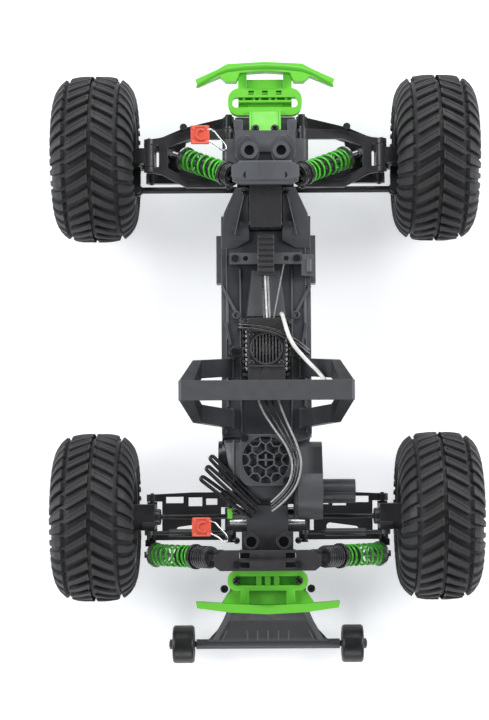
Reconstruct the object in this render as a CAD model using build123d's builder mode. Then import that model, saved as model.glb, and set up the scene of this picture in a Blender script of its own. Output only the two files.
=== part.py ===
"""Radio-controlled monster truck, body shell off, as a jointed assembly.

Frame: +X to the truck's right, +Y forward, +Z up, ground at z = 0, origin under the middle.
"""

from build123d import *
from math import atan2, cos, pi, radians, sin, sqrt, tan
import os

os.makedirs("parts", exist_ok=True)

# ---------------------------------------------------------------- driving dimensions (mm)

# stance
wheelbase = 285
front_axle_y = 163
rear_axle_y = front_axle_y - wheelbase
axle_z = 66
wheel_x = 135

# wheels
tyre_r = 66
tyre_half_width = 33
rim_r = 36
rim_half_width = 30
rim_wall = 2.4
hub_face_x = 112
wheel_nut_x = 124.5
stub_axle_r = 2.5

# suspension: lower and upper links are equal and parallel
pin_in_x = 29.5
pin_out_x = 92
lower_pin_z = 50
upper_pin_z = 82
pin_r = 1.5
barrel_r = 4.5
kingpin_x = 103
arm_bottom_z = 46.5
arm_top_z = 52.5
run = 0.06
side_gap = 0.3

# steering
rod_y = front_axle_y - 23.6
crank_arm = 20
crank_y = rod_y + crank_arm
horn_y = crank_y - 40
link_offset_x = 14
rod_hinge_x = 13
rod_z = 58
crank_bottom_z = 61
crank_top_z = 64
link_bottom_z = 64.5
link_top_z = 68

# shocks: top and bottom eye centres
front_shock_top = Vector(22, 141, 112)
front_shock_foot = Vector(76, 169, 58)
rear_shock_top = Vector(37, -152, 110)
rear_shock_foot = Vector(93, -152, 57)
front_spring_span = (14, 61)
rear_spring_span = (27, 70)
shock_body_r = 7
shock_bore_r = 5.6
shock_shaft_r = 1.75
shock_eye_r = 5
shock_eye_hole_r = 3.1
shock_body_end = 43
spring_coil_r = 8.8
spring_wire_r = 0.95
spring_turns = 8

# drivetrain
final_module = 1.0
final_teeth = 45
top_pinion_teeth = 13
motor_module = 0.8
spur_teeth = 48
motor_pinion_teeth = 20
top_shaft_y = rear_axle_y + 20
top_shaft_z = axle_z + 21
motor_gear_distance = motor_module * (spur_teeth + motor_pinion_teeth) / 2
motor_y = top_shaft_y + 25.2
motor_z = top_shaft_z - sqrt(motor_gear_distance**2 - 25.2**2)
motor_r = 17.3
motor_left_x = -38
mount_plate_x = 20.5
mount_plate_t = 3
cup_in_x = 17.5
cup_mouth_x = 29.5
cup_r = 6.4
cup_bore_r = 4.9
case_half_x = 16
case_wall = 3
tail_rear_y = -148.2

# chassis
floor_z = 45
floor_t = 3
deck_z = 72.5
tub_half_x = 35.5
nose_half_x = 26
tongue_half_x = 23
tub_wall = 2.5
tub_front_y = 104
tub_rear_y = -57
tail_y = -97
bulkhead_half_x = 24
bulkhead_rear_y = 152
bulkhead_front_y = 196
bulkhead_top_z = 88

# body posts
socket_x = 12.5
front_socket_y = 164.5
rear_socket_y = -140.5
socket_bore_r = 4
socket_r = 6.8
socket_length = 10

# roll hoop
hoop_half_x = 66
hoop_top_z = 150
hoop_bar_t = 5
hoop_front_y = -18
hoop_rear_y = -33

# wheelie bar
wheelie_y = -226
wheelie_z = 26
wheelie_wheel_r = 15.2
wheelie_wheel_in_x = 59.5
wheelie_wheel_out_x = 77
wheelie_axle_r = 2.5


# ---------------------------------------------------------------- helpers


def save(piece, name):
    """Label a finished piece and write it as one STEP file."""
    piece.label = name
    export_step(piece, f"parts/{name}.step")


def save_both(piece, name):
    """Write a right-hand piece and its mirror image on the left."""
    save(piece, f"{name}_right")
    save(mirror(piece, about=Plane.YZ), f"{name}_left")


def block(x0, x1, y0, y1, z0, z1, mode=Mode.ADD):
    """Box between two corners, in the part being built."""
    with Locations(((x0 + x1) / 2, (y0 + y1) / 2, (z0 + z1) / 2)):
        Box(x1 - x0, y1 - y0, z1 - z0, mode=mode)


def rod_along_x(y, z, r, x0, x1, mode=Mode.ADD):
    """Round bar along X."""
    with Locations(Location(((x0 + x1) / 2, y, z), (0, 90, 0))):
        Cylinder(r, abs(x1 - x0), mode=mode)


def rod_along_y(x, z, r, y0, y1, mode=Mode.ADD):
    """Round bar along Y."""
    with Locations(Location((x, (y0 + y1) / 2, z), (90, 0, 0))):
        Cylinder(r, abs(y1 - y0), mode=mode)


def rod_along_z(x, y, r, z0, z1, mode=Mode.ADD):
    """Round bar along Z."""
    with Locations((x, y, (z0 + z1) / 2)):
        Cylinder(r, abs(z1 - z0), mode=mode)


def gear_outline(teeth, module, phase=0.0):
    """Closed outline of a spur gear with slim straight-flanked teeth."""
    pitch_r = teeth * module / 2
    half_pitch_angle = pi / teeth
    profile = [
        (pitch_r - 1.15 * module, 0.70),
        (pitch_r, 0.42),
        (pitch_r + 0.85 * module, 0.20),
    ]
    corners = []
    for tooth in range(teeth):
        centre = 2 * pi * tooth / teeth + phase
        for radius, share in profile:
            angle = centre - share * half_pitch_angle
            corners.append((radius * cos(angle), radius * sin(angle)))
        for radius, share in reversed(profile):
            angle = centre + share * half_pitch_angle
            corners.append((radius * cos(angle), radius * sin(angle)))
    return corners


def yz_plane(x, y, z):
    """Plane facing +X whose own X runs along +Y and whose own Y runs along +Z."""
    return Plane(origin=(x, y, z), x_dir=(0, 1, 0), z_dir=(1, 0, 0))


# ---------------------------------------------------------------- chassis tub

with BuildPart() as chassis_tub:
    with BuildSketch(Plane.XY.offset(floor_z)) as tub_outline:
        with BuildLine():
            Polyline(
                (tongue_half_x, bulkhead_rear_y - 0.2),
                (tongue_half_x, tub_front_y + 30),
                (nose_half_x, tub_front_y + 24),
                (tub_half_x, tub_front_y + 12),
                (tub_half_x, tub_rear_y),
                (nose_half_x, tail_y),
                (-nose_half_x, tail_y),
                (-tub_half_x, tub_rear_y),
                (-tub_half_x, tub_front_y + 12),
                (-nose_half_x, tub_front_y + 24),
                (-tongue_half_x, tub_front_y + 30),
                (-tongue_half_x, bulkhead_rear_y - 0.2),
                close=True,
            )
        make_face()
    extrude(amount=floor_t)
    # battery box: walls and deck around an inside that is open to the servo bay
    block(-tub_half_x, tub_half_x, tub_rear_y, tub_front_y, floor_z, deck_z)
    block(
        -tub_half_x + tub_wall,
        tub_half_x - tub_wall,
        tub_rear_y + tub_wall,
        tub_front_y,
        floor_z + floor_t,
        deck_z - tub_wall,
        mode=Mode.SUBTRACT,
    )
    # servo bay cheeks, cut away ahead of them for the track rods
    for side in (-1, 1):
        cheek_x = side * (nose_half_x - tub_wall / 2)
        block(
            cheek_x - tub_wall / 2,
            cheek_x + tub_wall / 2,
            tub_front_y,
            rod_y - 8,
            floor_z,
            deck_z + 6,
        )
        shoulder_x = side * (tub_half_x - tub_wall / 2)
        block(
            shoulder_x - tub_wall / 2,
            shoulder_x + tub_wall / 2,
            tub_front_y,
            tub_front_y + 12,
            floor_z,
            deck_z,
        )
        block(
            min(side * nose_half_x, side * tub_half_x) - 0.01,
            max(side * nose_half_x, side * tub_half_x) + 0.01,
            tub_front_y,
            tub_front_y + tub_wall,
            floor_z,
            deck_z,
        )
        # side rail
        rail_x = side * (tub_half_x + 2)
        block(rail_x - 2, rail_x + 2, 63, 101, floor_z + 8, deck_z - 4)
    # raised spine on the deck
    with BuildSketch(Plane.XY.offset(deck_z)):
        with BuildLine():
            Polyline((11, 73), (-11, 73), (-16, 35), (16, 35), close=True)
        make_face()
    extrude(amount=4, taper=12)
    # slanting stiffening ribs, two behind and two ahead of the speed controller
    with BuildSketch(Plane.XY.offset(deck_z)):
        for side in (-1, 1):
            with Locations(Location((side * 27, 45, 0), (0, 0, side * 62))):
                Rectangle(34, 2.2)
            with Locations(Location((side * 30, 22, 0), (0, 0, side * 78))):
                Rectangle(18, 2.2)
    extrude(amount=2.2)
    # low tail walls beside the motor
    for side in (-1, 1):
        block(side * 24 - 1.2, side * 24 + 1.2, tail_y, tub_rear_y + 0.5, floor_z, floor_z + 11)

save(chassis_tub.part, "chassis_tub")

with BuildPart() as battery_pack:
    block(-23, 23, -50, 88, floor_z + floor_t + 0.2, deck_z - tub_wall - 0.4)
    fillet(battery_pack.edges().filter_by(Axis.Y), radius=3)

save(battery_pack.part, "battery_pack")

# ---------------------------------------------------------------- front bulkhead

front_lug_y = (160.3, 188.7)
front_upper_lug_y = (153, 175.7)
bumper_seat_z = 70

with BuildPart() as front_bulkhead:
    block(
        -bulkhead_half_x,
        bulkhead_half_x,
        bulkhead_rear_y,
        bulkhead_front_y,
        floor_z,
        bulkhead_top_z,
    )
    # the nose steps down to a seat for the bumper tab
    block(
        -bulkhead_half_x - 1,
        bulkhead_half_x + 1,
        182,
        bulkhead_front_y + 1,
        bumper_seat_z,
        bulkhead_top_z + 1,
        mode=Mode.SUBTRACT,
    )
    # steering bay, open to the rear
    block(
        -bulkhead_half_x + 2.5,
        bulkhead_half_x - 2.5,
        bulkhead_rear_y - 1,
        177,
        floor_z + floor_t,
        bulkhead_top_z - 4,
        mode=Mode.SUBTRACT,
    )
    # dished centre of the top plate
    block(-6.5, 6.5, 154, 165, bulkhead_top_z - 1.5, bulkhead_top_z + 1, mode=Mode.SUBTRACT)
    for side in (-1, 1):
        # lugs for the inner hinge pins
        for pin_z, (lug_start, lug_end) in (
            (lower_pin_z, front_lug_y),
            (upper_pin_z, front_upper_lug_y),
        ):
            root_x = side * (bulkhead_half_x - 1)
            tip_x = side * pin_in_x
            block(
                min(root_x, tip_x),
                max(root_x, tip_x),
                lug_start,
                lug_end,
                pin_z - barrel_r,
                pin_z + barrel_r,
            )
            rod_along_y(tip_x, pin_z, barrel_r, lug_start, lug_end)
            rod_along_y(tip_x, pin_z, pin_r, lug_start - 1, lug_end + 1, mode=Mode.SUBTRACT)
    # post that the steering crank turns on
    rod_along_z(0, crank_y, 3, floor_z, crank_top_z + 6)

with BuildPart() as front_sockets:
    for side in (-1, 1):
        rod_along_z(
            side * socket_x,
            front_socket_y,
            socket_r,
            bulkhead_top_z + 0.02,
            bulkhead_top_z + socket_length,
        )
        rod_along_z(
            side * socket_x,
            front_socket_y,
            socket_bore_r,
            bulkhead_top_z,
            bulkhead_top_z + socket_length,
            mode=Mode.SUBTRACT,
        )

save(Compound([front_bulkhead.part, front_sockets.part]), "front_bulkhead")

# ---------------------------------------------------------------- front shock tower

shock_stud_r = 1.5
tower_bar_z = 118


def across(axis):
    """Level unit direction at right angles to a shock's axis, pointing forward."""
    level = Vector(-axis.Y, axis.X, 0).normalized()
    return level if level.Y > 0 else level * -1


front_shock_axis = front_shock_foot - front_shock_top
rear_shock_axis = rear_shock_foot - rear_shock_top
front_across = across(front_shock_axis)
rear_across = across(rear_shock_axis)


def stud(centre, direction, r, start, end, mode=Mode.ADD):
    """Round bar through a point, from start to end along a direction."""
    middle = centre + direction * ((start + end) / 2)
    with Locations(Plane(origin=middle, z_dir=direction)):
        Cylinder(r, end - start, mode=mode)


with BuildPart() as front_shock_tower:
    with BuildSketch(Plane.XY.offset(tower_bar_z)):
        with BuildLine():
            Polyline(
                (-25.5, 136.5),
                (-19, 133.5),
                (19, 133.5),
                (25.5, 136.5),
                (25.5, 145),
                (20, 151.8),
                (-20, 151.8),
                (-25.5, 145),
                close=True,
            )
        make_face()
    extrude(amount=8)
    chamfer(front_shock_tower.faces().sort_by(Axis.Z)[-1].edges(), length=2.5)
    # leg down to the bulkhead
    block(-15, 15, 147, 151.8, 70, tower_bar_z + 1)
    block(-11, 11, 146, 152, 82, 106, mode=Mode.SUBTRACT)
    for side in (-1, 1):
        eye = Vector(side * front_shock_top.X, front_shock_top.Y, front_shock_top.Z)
        aside = Vector(side * front_across.X, front_across.Y, 0)
        lug = eye + aside * 7
        rod_along_z(lug.X, lug.Y, 3.2, eye.Z - 3.2, tower_bar_z + 1)
        stud(eye, aside, shock_stud_r, -3.5, 7)

save(front_shock_tower.part, "front_shock_tower")

# ---------------------------------------------------------------- steering

with BuildPart() as steering_servo:
    block(-12.5, 12.5, tub_front_y + 0.4, 143, link_top_z + 2.5, 96)
    fillet(steering_servo.edges().filter_by(Axis.Z), radius=2)
    # output boss and its bore
    rod_along_z(0, horn_y, 6, link_top_z + 0.5, link_top_z + 3)
    rod_along_z(0, horn_y, 3 + run, link_top_z, link_top_z + 8, mode=Mode.SUBTRACT)
    # mounting ears
    block(-20, 20, tub_front_y + 3, tub_front_y + 6, 74, 86)

save(steering_servo.part, "steering_servo")

with BuildPart() as servo_horn:
    rod_along_z(0, horn_y, 3, crank_bottom_z, link_top_z + 8)
    rod_along_z(0, horn_y, 5.5, crank_bottom_z, crank_top_z)
    block(0, link_offset_x, horn_y - 3, horn_y + 3, crank_bottom_z, crank_top_z)
    rod_along_z(link_offset_x, horn_y, 3.5, crank_bottom_z, crank_top_z)
    rod_along_z(link_offset_x, horn_y, pin_r, crank_bottom_z, link_top_z + 1)

save(servo_horn.part, "servo_horn")

with BuildPart() as drag_link:
    for y in (horn_y, crank_y):
        rod_along_z(link_offset_x, y, 3.4, link_bottom_z, link_top_z)
    block(
        link_offset_x - 2,
        link_offset_x + 2,
        horn_y,
        crank_y,
        link_bottom_z,
        link_top_z,
    )
    for y in (horn_y, crank_y):
        rod_along_z(link_offset_x, y, pin_r + run, link_bottom_z, link_top_z, mode=Mode.SUBTRACT)

save(drag_link.part, "drag_link")

with BuildPart() as steering_crank:
    rod_along_z(0, crank_y, 6, crank_bottom_z, crank_top_z)
    block(0, link_offset_x, crank_y - 3, crank_y + 3, crank_bottom_z, crank_top_z)
    rod_along_z(link_offset_x, crank_y, 3.5, crank_bottom_z, crank_top_z)
    rod_along_z(link_offset_x, crank_y, pin_r, crank_bottom_z, link_top_z + 1)
    block(-5, 5, rod_y, crank_y, crank_bottom_z, crank_top_z)
    rod_along_z(0, rod_y, 5, crank_bottom_z, crank_top_z)
    rod_along_z(0, rod_y, pin_r, rod_z - 4, crank_top_z)
    rod_along_z(0, crank_y, 3 + run, crank_bottom_z, crank_top_z, mode=Mode.SUBTRACT)

save(steering_crank.part, "steering_crank")


def make_tie_rod_end(side, eye_bottom_z):
    """Eye on the crank's stud with a fork and pin for the track rod on one side."""

    def span(x0, x1):
        """Two distances from the middle plane as an ordered pair on this side."""
        return sorted((side * x0, side * x1))

    with BuildPart() as end:
        eye_top_z = eye_bottom_z + 2.5
        rod_along_z(0, rod_y, 3.2, eye_bottom_z, eye_top_z)
        block(*span(0, 10), rod_y - 2.2, rod_y + 2.2, eye_bottom_z, eye_top_z)
        rod_along_z(0, rod_y, pin_r + run, rod_z - 4, crank_bottom_z, mode=Mode.SUBTRACT)
        block(*span(9.2, 10.6), rod_y - 3, rod_y + 3, rod_z - 2.6, rod_z + 2.6)
        for across in (-3, 3):
            block(
                *span(10, rod_hinge_x + 2.4),
                rod_y + across - 0.7,
                rod_y + across + 0.7,
                rod_z - 2.4,
                rod_z + 2.4,
            )
        rod_along_y(side * rod_hinge_x, rod_z, 1, rod_y - 3.5, rod_y + 3.5)
    return end.part


# the two eyes are stacked on the one stud
save(make_tie_rod_end(1, rod_z + 0.1), "tie_rod_end_right")
save(make_tie_rod_end(-1, rod_z - 2.6), "tie_rod_end_left")

tie_rod_r = 2.6
ball_hole_r = 2.8

with BuildPart() as tie_rod:
    rod_along_y(rod_hinge_x, rod_z, 2, rod_y - 2, rod_y + 2)
    rod_along_x(rod_y, rod_z, 1.6, rod_hinge_x, 21)
    rod_along_x(rod_y, rod_z, tie_rod_r, 20, kingpin_x - 4)
    rod_along_z(kingpin_x, rod_y, 4.6, rod_z - 2.3, rod_z + 2.3)
    rod_along_y(rod_hinge_x, rod_z, 1 + run, rod_y - 4, rod_y + 4, mode=Mode.SUBTRACT)
    rod_along_z(kingpin_x, rod_y, ball_hole_r, rod_z - 4, rod_z + 4, mode=Mode.SUBTRACT)

save_both(tie_rod.part, "tie_rod")

# ---------------------------------------------------------------- front suspension

caster_y = (154.3, 171.7)
front_leg_y = (189, 200)
rear_leg_y = (146, 156)


def shock_foot_stud(foot, aside, arm_top):
    """Post and stud on a lower arm that carry a shock's bottom eye."""
    post = foot + aside * -7.2
    rod_along_z(post.X, post.Y, 2.8, arm_top - 2, foot.Z + 2.6)
    stud(foot, aside, shock_stud_r, -7.2, 4)


with BuildPart() as front_lower_arm:
    with BuildSketch(Plane.XY.offset(arm_bottom_z)):
        with BuildLine():
            Polyline(
                (pin_in_x, front_leg_y[1]),
                (66, 191),
                (pin_out_x, 180),
                (pin_out_x, caster_y[1] + side_gap),
                (84, caster_y[1] + side_gap),
                (84, caster_y[0] - side_gap),
                (pin_out_x, caster_y[0] - side_gap),
                (pin_out_x, rear_leg_y[0]),
                (pin_in_x, rear_leg_y[0]),
                (pin_in_x, rear_leg_y[1]),
                (62, 158),
                (68, 164),
                (64, 179.5),
                (38, front_leg_y[0]),
                (pin_in_x, front_leg_y[0]),
                close=True,
            )
        make_face()
    extrude(amount=arm_top_z - arm_bottom_z)
    for start, end in (front_leg_y, rear_leg_y):
        rod_along_y(pin_in_x, lower_pin_z, barrel_r, start, end)
    for start, end in ((caster_y[1] + side_gap, 180), (rear_leg_y[0], caster_y[0] - side_gap)):
        rod_along_y(pin_out_x, lower_pin_z, barrel_r, start, end)
    rod_along_z(66, 191.5, 3, arm_bottom_z, arm_top_z + 1.5)
    shock_foot_stud(front_shock_foot, front_across, arm_top_z)
    rod_along_y(pin_in_x, lower_pin_z, pin_r + run, 140, 205, mode=Mode.SUBTRACT)
    rod_along_y(pin_out_x, lower_pin_z, pin_r + run, 172, 185, mode=Mode.SUBTRACT)
    rod_along_y(pin_out_x, lower_pin_z, pin_r + run, 140, 154, mode=Mode.SUBTRACT)

save_both(front_lower_arm.part, "front_lower_arm")

upper_bottom_z = upper_pin_z - 2.6
upper_top_z = upper_pin_z + 2.6

with BuildPart() as front_upper_arm:
    with BuildSketch(Plane.XY.offset(upper_bottom_z)):
        with BuildLine():
            Polyline(
                (pin_in_x, 184),
                (62, 182.5),
                (84, 177),
                (pin_out_x, 176),
                (pin_out_x, caster_y[1] + side_gap),
                (84, caster_y[1] + side_gap),
                (84, caster_y[0] - side_gap),
                (pin_out_x, caster_y[0] - side_gap),
                (pin_out_x, 150),
                (82, 148),
                (62, 137.5),
                (pin_in_x, 137.5),
                (pin_in_x, 143.5),
                (60, 143.5),
                (77, 153),
                (77, 170),
                (60, 176),
                (pin_in_x, 176),
                close=True,
            )
        make_face()
    extrude(amount=upper_top_z - upper_bottom_z)
    for start, end in ((176, 184), (137.5, 147)):
        rod_along_y(pin_in_x, upper_pin_z, 4, start, end)
    for start, end in ((caster_y[1] + side_gap, 176), (150, caster_y[0] - side_gap)):
        rod_along_y(pin_out_x, upper_pin_z, 4, start, end)
    rod_along_y(pin_in_x, upper_pin_z, pin_r + run, 135, 190, mode=Mode.SUBTRACT)
    rod_along_y(pin_out_x, upper_pin_z, pin_r + 0.3, 172, 180, mode=Mode.SUBTRACT)
    rod_along_y(pin_out_x, upper_pin_z, pin_r + 0.3, 148, 154, mode=Mode.SUBTRACT)

save_both(front_upper_arm.part, "front_upper_arm")

knuckle_z = (56.3, 75.7)
kingpin_r = 2

with BuildPart() as caster_block:
    for pin_z, near, far in (
        (lower_pin_z, knuckle_z[0] - side_gap, 47),
        (upper_pin_z, knuckle_z[1] + side_gap, 85),
    ):
        rod_along_y(pin_out_x, pin_z, 4, *caster_y)
        block(pin_out_x, 108, 157, 169, min(near, far), max(near, far))
    block(88.5, 95.4, 157, 169, lower_pin_z, upper_pin_z)
    rod_along_z(kingpin_x, front_axle_y, kingpin_r, 50, knuckle_z[0] + 4)
    rod_along_z(kingpin_x, front_axle_y, kingpin_r, knuckle_z[1] - 4, 80)
    # hinge pins held in the block
    rod_along_y(pin_out_x, lower_pin_z, pin_r, rear_leg_y[0] - 1, 181)
    rod_along_y(pin_out_x, upper_pin_z, pin_r, 149, 177)

save_both(caster_block.part, "caster_block")

with BuildPart() as steering_knuckle:
    rod_along_z(kingpin_x, front_axle_y, 6.8, *knuckle_z)
    rod_along_x(front_axle_y, axle_z, 7, kingpin_x, hub_face_x - 0.6)
    block(kingpin_x - 3, kingpin_x + 3, rod_y, front_axle_y, 62.2, 66.5)
    rod_along_z(kingpin_x, rod_y, 3.6, 62.2, 66.5)
    rod_along_z(kingpin_x, rod_y, 1.4, rod_z - 3.5, 66.5)
    rod_along_z(
        kingpin_x,
        front_axle_y,
        kingpin_r + run,
        knuckle_z[0] - 1,
        knuckle_z[0] + 4.4,
        mode=Mode.SUBTRACT,
    )
    rod_along_z(
        kingpin_x,
        front_axle_y,
        kingpin_r + run,
        knuckle_z[1] - 4.4,
        knuckle_z[1] + 1,
        mode=Mode.SUBTRACT,
    )
    rod_along_x(front_axle_y, axle_z, stub_axle_r, kingpin_x + 4, 129)
    rod_along_x(front_axle_y, axle_z, 4.4, wheel_nut_x + side_gap, 129)

save_both(steering_knuckle.part, "steering_knuckle")

# ---------------------------------------------------------------- wheels

wheel_windows = 6
hub_r = 8
hub_disc_x = (113, 117)


def tyre_section():
    """Half-plane outline of the carcass: radius against distance from the wheel's middle."""
    w = tyre_half_width
    with BuildSketch(Plane.XY) as section:
        with BuildLine():
            Polyline(
                (-w + 5, rim_r + 0.03),
                (-w, rim_r + 8),
                (-w, tyre_r - 12),
                (-w + 4, tyre_r - 3.5),
                (-w + 13, tyre_r),
                (w - 13, tyre_r),
                (w - 4, tyre_r - 3.5),
                (w, tyre_r - 12),
                (w, rim_r + 8),
                (w - 5, rim_r + 0.03),
                (w - 8, rim_r + 0.03),
                (w - 3, rim_r + 10),
                (w - 3, tyre_r - 13),
                (w - 9, tyre_r - 6),
                (-w + 9, tyre_r - 6),
                (-w + 3, tyre_r - 13),
                (-w + 3, rim_r + 10),
                (-w + 8, rim_r + 0.03),
                close=True,
            )
        make_face()
    return section.sketch


with BuildPart() as tyre_at_origin:
    add(tyre_section())
    revolve(axis=Axis.X)

with BuildPart() as rim_at_origin:
    rod_along_x(0, 0, rim_r, -rim_half_width, rim_half_width)
    rod_along_x(0, 0, rim_r - rim_wall, -rim_half_width, rim_half_width, mode=Mode.SUBTRACT)
    disc_start = hub_disc_x[0] - wheel_x
    disc_end = hub_disc_x[1] - wheel_x
    rod_along_x(0, 0, rim_r - rim_wall + 1, disc_start, disc_end)
    with BuildSketch(yz_plane(disc_start, 0, 0)):
        with PolarLocations(20, wheel_windows):
            SlotOverall(13, 9)
    extrude(amount=disc_end - disc_start, mode=Mode.SUBTRACT)
    rod_along_x(0, 0, hub_r, hub_face_x - wheel_x, wheel_nut_x - wheel_x)

with BuildPart() as front_rim:
    add(rim_at_origin.part)
    rod_along_x(0, 0, stub_axle_r + run, -rim_half_width, 0, mode=Mode.SUBTRACT)

# rear wheels carry their own stub axle, with a drive cup at its inner end
rear_cup_x = (84, 97)

with BuildPart() as rear_rim:
    add(rim_at_origin.part)
    rod_along_x(0, 0, stub_axle_r + 0.02, -rim_half_width, 0, mode=Mode.SUBTRACT)

with BuildPart() as rear_axle:
    rod_along_x(0, 0, stub_axle_r, rear_cup_x[1] - 1 - wheel_x, 129 - wheel_x)
    rod_along_x(0, 0, cup_r, rear_cup_x[0] - wheel_x, rear_cup_x[1] - wheel_x)
    rod_along_x(
        0,
        0,
        cup_bore_r,
        rear_cup_x[0] - 1 - wheel_x,
        rear_cup_x[1] - 2 - wheel_x,
        mode=Mode.SUBTRACT,
    )

for wheel_y, axle_name, wheel_solids in (
    (front_axle_y, "front", [tyre_at_origin, front_rim]),
    (rear_axle_y, "rear", [tyre_at_origin, rear_rim, rear_axle]),
):
    centre = Location((wheel_x, wheel_y, axle_z))
    wheel = Compound([solid.part.moved(centre) for solid in wheel_solids])
    save_both(wheel, f"{axle_name}_wheel")

# ---------------------------------------------------------------- rear suspension

rear_front_leg_y = (-115, -103)
rear_rear_leg_y = (-141, -135)
hub_y = (-133.5, -110.5)
camber_y = -134

with BuildPart() as rear_lower_arm:
    with BuildSketch(Plane.XY.offset(arm_bottom_z)):
        with BuildLine():
            Polyline(
                (pin_in_x, rear_front_leg_y[1]),
                (60, rear_front_leg_y[1]),
                (pin_out_x, -104.5),
                (pin_out_x, hub_y[1] + side_gap),
                (84, hub_y[1] + side_gap),
                (84, hub_y[0] - side_gap),
                (pin_out_x, hub_y[0] - side_gap),
                (pin_out_x, rear_rear_leg_y[0]),
                (pin_in_x, rear_rear_leg_y[0]),
                (pin_in_x, rear_rear_leg_y[1]),
                (37, rear_rear_leg_y[1]),
                (37, rear_front_leg_y[0]),
                (pin_in_x, rear_front_leg_y[0]),
                close=True,
            )
        make_face()
        with Locations((44.5, -110.5)):
            Rectangle(9, 5, mode=Mode.SUBTRACT)
        with Locations((57.5, -110.5)):
            Rectangle(11, 7, mode=Mode.SUBTRACT)
        with Locations((74, -109)):
            Rectangle(14, 5, mode=Mode.SUBTRACT)
        with Locations((60, -132)):
            SlotOverall(26, 6, rotation=-8, mode=Mode.SUBTRACT)
    extrude(amount=arm_top_z - arm_bottom_z)
    for start, end in (rear_front_leg_y, rear_rear_leg_y):
        rod_along_y(pin_in_x, lower_pin_z, barrel_r, start, end)
    for start, end in ((hub_y[1] + side_gap, -104.5), (rear_rear_leg_y[0], hub_y[0] - side_gap)):
        rod_along_y(pin_out_x, lower_pin_z, barrel_r, start, end)
    # ear and stud behind the arm for the shock's bottom eye
    block(rear_shock_foot.X - 4, rear_shock_foot.X + 4, -145.5, -140.5, arm_bottom_z, 60)
    stud(rear_shock_foot, rear_across, shock_stud_r, -3.2, 8)
    rod_along_y(pin_in_x, lower_pin_z, pin_r + run, -150, -95, mode=Mode.SUBTRACT)
    rod_along_y(pin_out_x, lower_pin_z, pin_r + run, -111, -100, mode=Mode.SUBTRACT)
    rod_along_y(pin_out_x, lower_pin_z, pin_r + run, -143, -133, mode=Mode.SUBTRACT)

save_both(rear_lower_arm.part, "rear_lower_arm")

with BuildPart() as rear_hub:
    rod_along_y(pin_out_x, lower_pin_z, 4, *hub_y)
    block(88.5, 109, -132, -112, lower_pin_z + 2, 78)
    block(88, 98, -132, -126, 76, upper_pin_z + 3.5)
    rod_along_y(pin_out_x, lower_pin_z, pin_r, rear_rear_leg_y[0] - 1, -103.5)
    rod_along_y(pin_out_x, upper_pin_z, pin_r, camber_y - 3.6, -128)
    rod_along_x(rear_axle_y, axle_z, cup_r + 0.1, 86, rear_cup_x[1] + side_gap, mode=Mode.SUBTRACT)
    rod_along_x(rear_axle_y, axle_z, stub_axle_r + run, 90, 110, mode=Mode.SUBTRACT)

save_both(rear_hub.part, "rear_hub")

with BuildPart() as camber_link:
    for x in (pin_in_x, pin_out_x):
        rod_along_y(x, upper_pin_z, 4, camber_y - 1.8, camber_y + 1.8)
    rod_along_x(camber_y, upper_pin_z, 1.7, pin_in_x, pin_out_x)
    rod_along_x(camber_y, upper_pin_z, 3, 45, 77)
    rod_along_y(pin_in_x, upper_pin_z, pin_r + run, camber_y - 4, camber_y + 4, mode=Mode.SUBTRACT)
    rod_along_y(pin_out_x, upper_pin_z, pin_r + 0.3, camber_y - 4, camber_y + 4, mode=Mode.SUBTRACT)

save_both(camber_link.part, "camber_link")

driveshaft_ball_r = 3.2
inner_ball_x = 25
outer_ball_x = 88

with BuildPart() as driveshaft:
    rod_along_x(rear_axle_y, axle_z, 2, inner_ball_x, outer_ball_x)
    for x in (inner_ball_x, outer_ball_x):
        with Locations(Location((x, rear_axle_y, axle_z), (0, 90, 0))):
            Sphere(driveshaft_ball_r)

save_both(driveshaft.part, "driveshaft")

# ---------------------------------------------------------------- shocks


def shock_frame(top, foot):
    """Plane at the top eye: its Z runs down the shock, its X runs across it, level."""
    axis = (foot - top).normalized()
    return Plane(origin=top, x_dir=across(axis), z_dir=axis)


def make_shock_body(spring_start):
    """Damper tube with cap, top eye, spring collar and hollow bore, along +Z."""
    with BuildPart() as body:
        block(-2.3, 2.3, -4, 4, 2, 9)
        rod_along_z(0, 0, shock_body_r, 8, shock_body_end)
        rod_along_z(0, 0, 8.2, 8, 13)
        rod_along_z(0, 0, spring_coil_r + 1, spring_start - 2.4, spring_start)
        rod_along_z(0, 0, shock_bore_r, 14, shock_body_end - 3, mode=Mode.SUBTRACT)
        rod_along_z(0, 0, shock_shaft_r + run, 30, shock_body_end + 1, mode=Mode.SUBTRACT)
        rod_along_x(0, 0, shock_eye_r, -2.4, 2.4)
        rod_along_x(0, 0, shock_stud_r + run, -6, 6, mode=Mode.SUBTRACT)
    return body.part


def make_shock_shaft(spring_end, length):
    """Piston, polished rod, spring cup and bottom eye, along +Z."""
    with BuildPart() as shaft:
        rod_along_z(0, 0, shock_bore_r - 0.1, 26, 29)
        rod_along_z(0, 0, shock_shaft_r, 27, spring_end + 1)
        rod_along_z(0, 0, spring_coil_r + 1, spring_end, spring_end + 1.6)
        rod_along_z(0, 0, 3, spring_end + 1, length - shock_eye_r + 1)
        with Locations(Location((0, 0, length), (0, 90, 0))):
            Cylinder(shock_eye_r, 4.8)
            Cylinder(shock_eye_hole_r, 6, mode=Mode.SUBTRACT)
    return shaft.part


def make_spring(start, end):
    """Open helical spring between collar and cup, along +Z."""
    wire_gap = spring_wire_r + 0.15
    height = end - start - 2 * wire_gap
    with BuildPart() as spring:
        with BuildLine() as path:
            Helix(
                pitch=height / spring_turns,
                height=height,
                radius=spring_coil_r - spring_wire_r,
                center=(0, 0, start + wire_gap),
            )
        with BuildSketch(Plane(origin=path.line @ 0, z_dir=path.line % 0)):
            Circle(spring_wire_r)
        sweep()
    return spring.part


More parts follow.
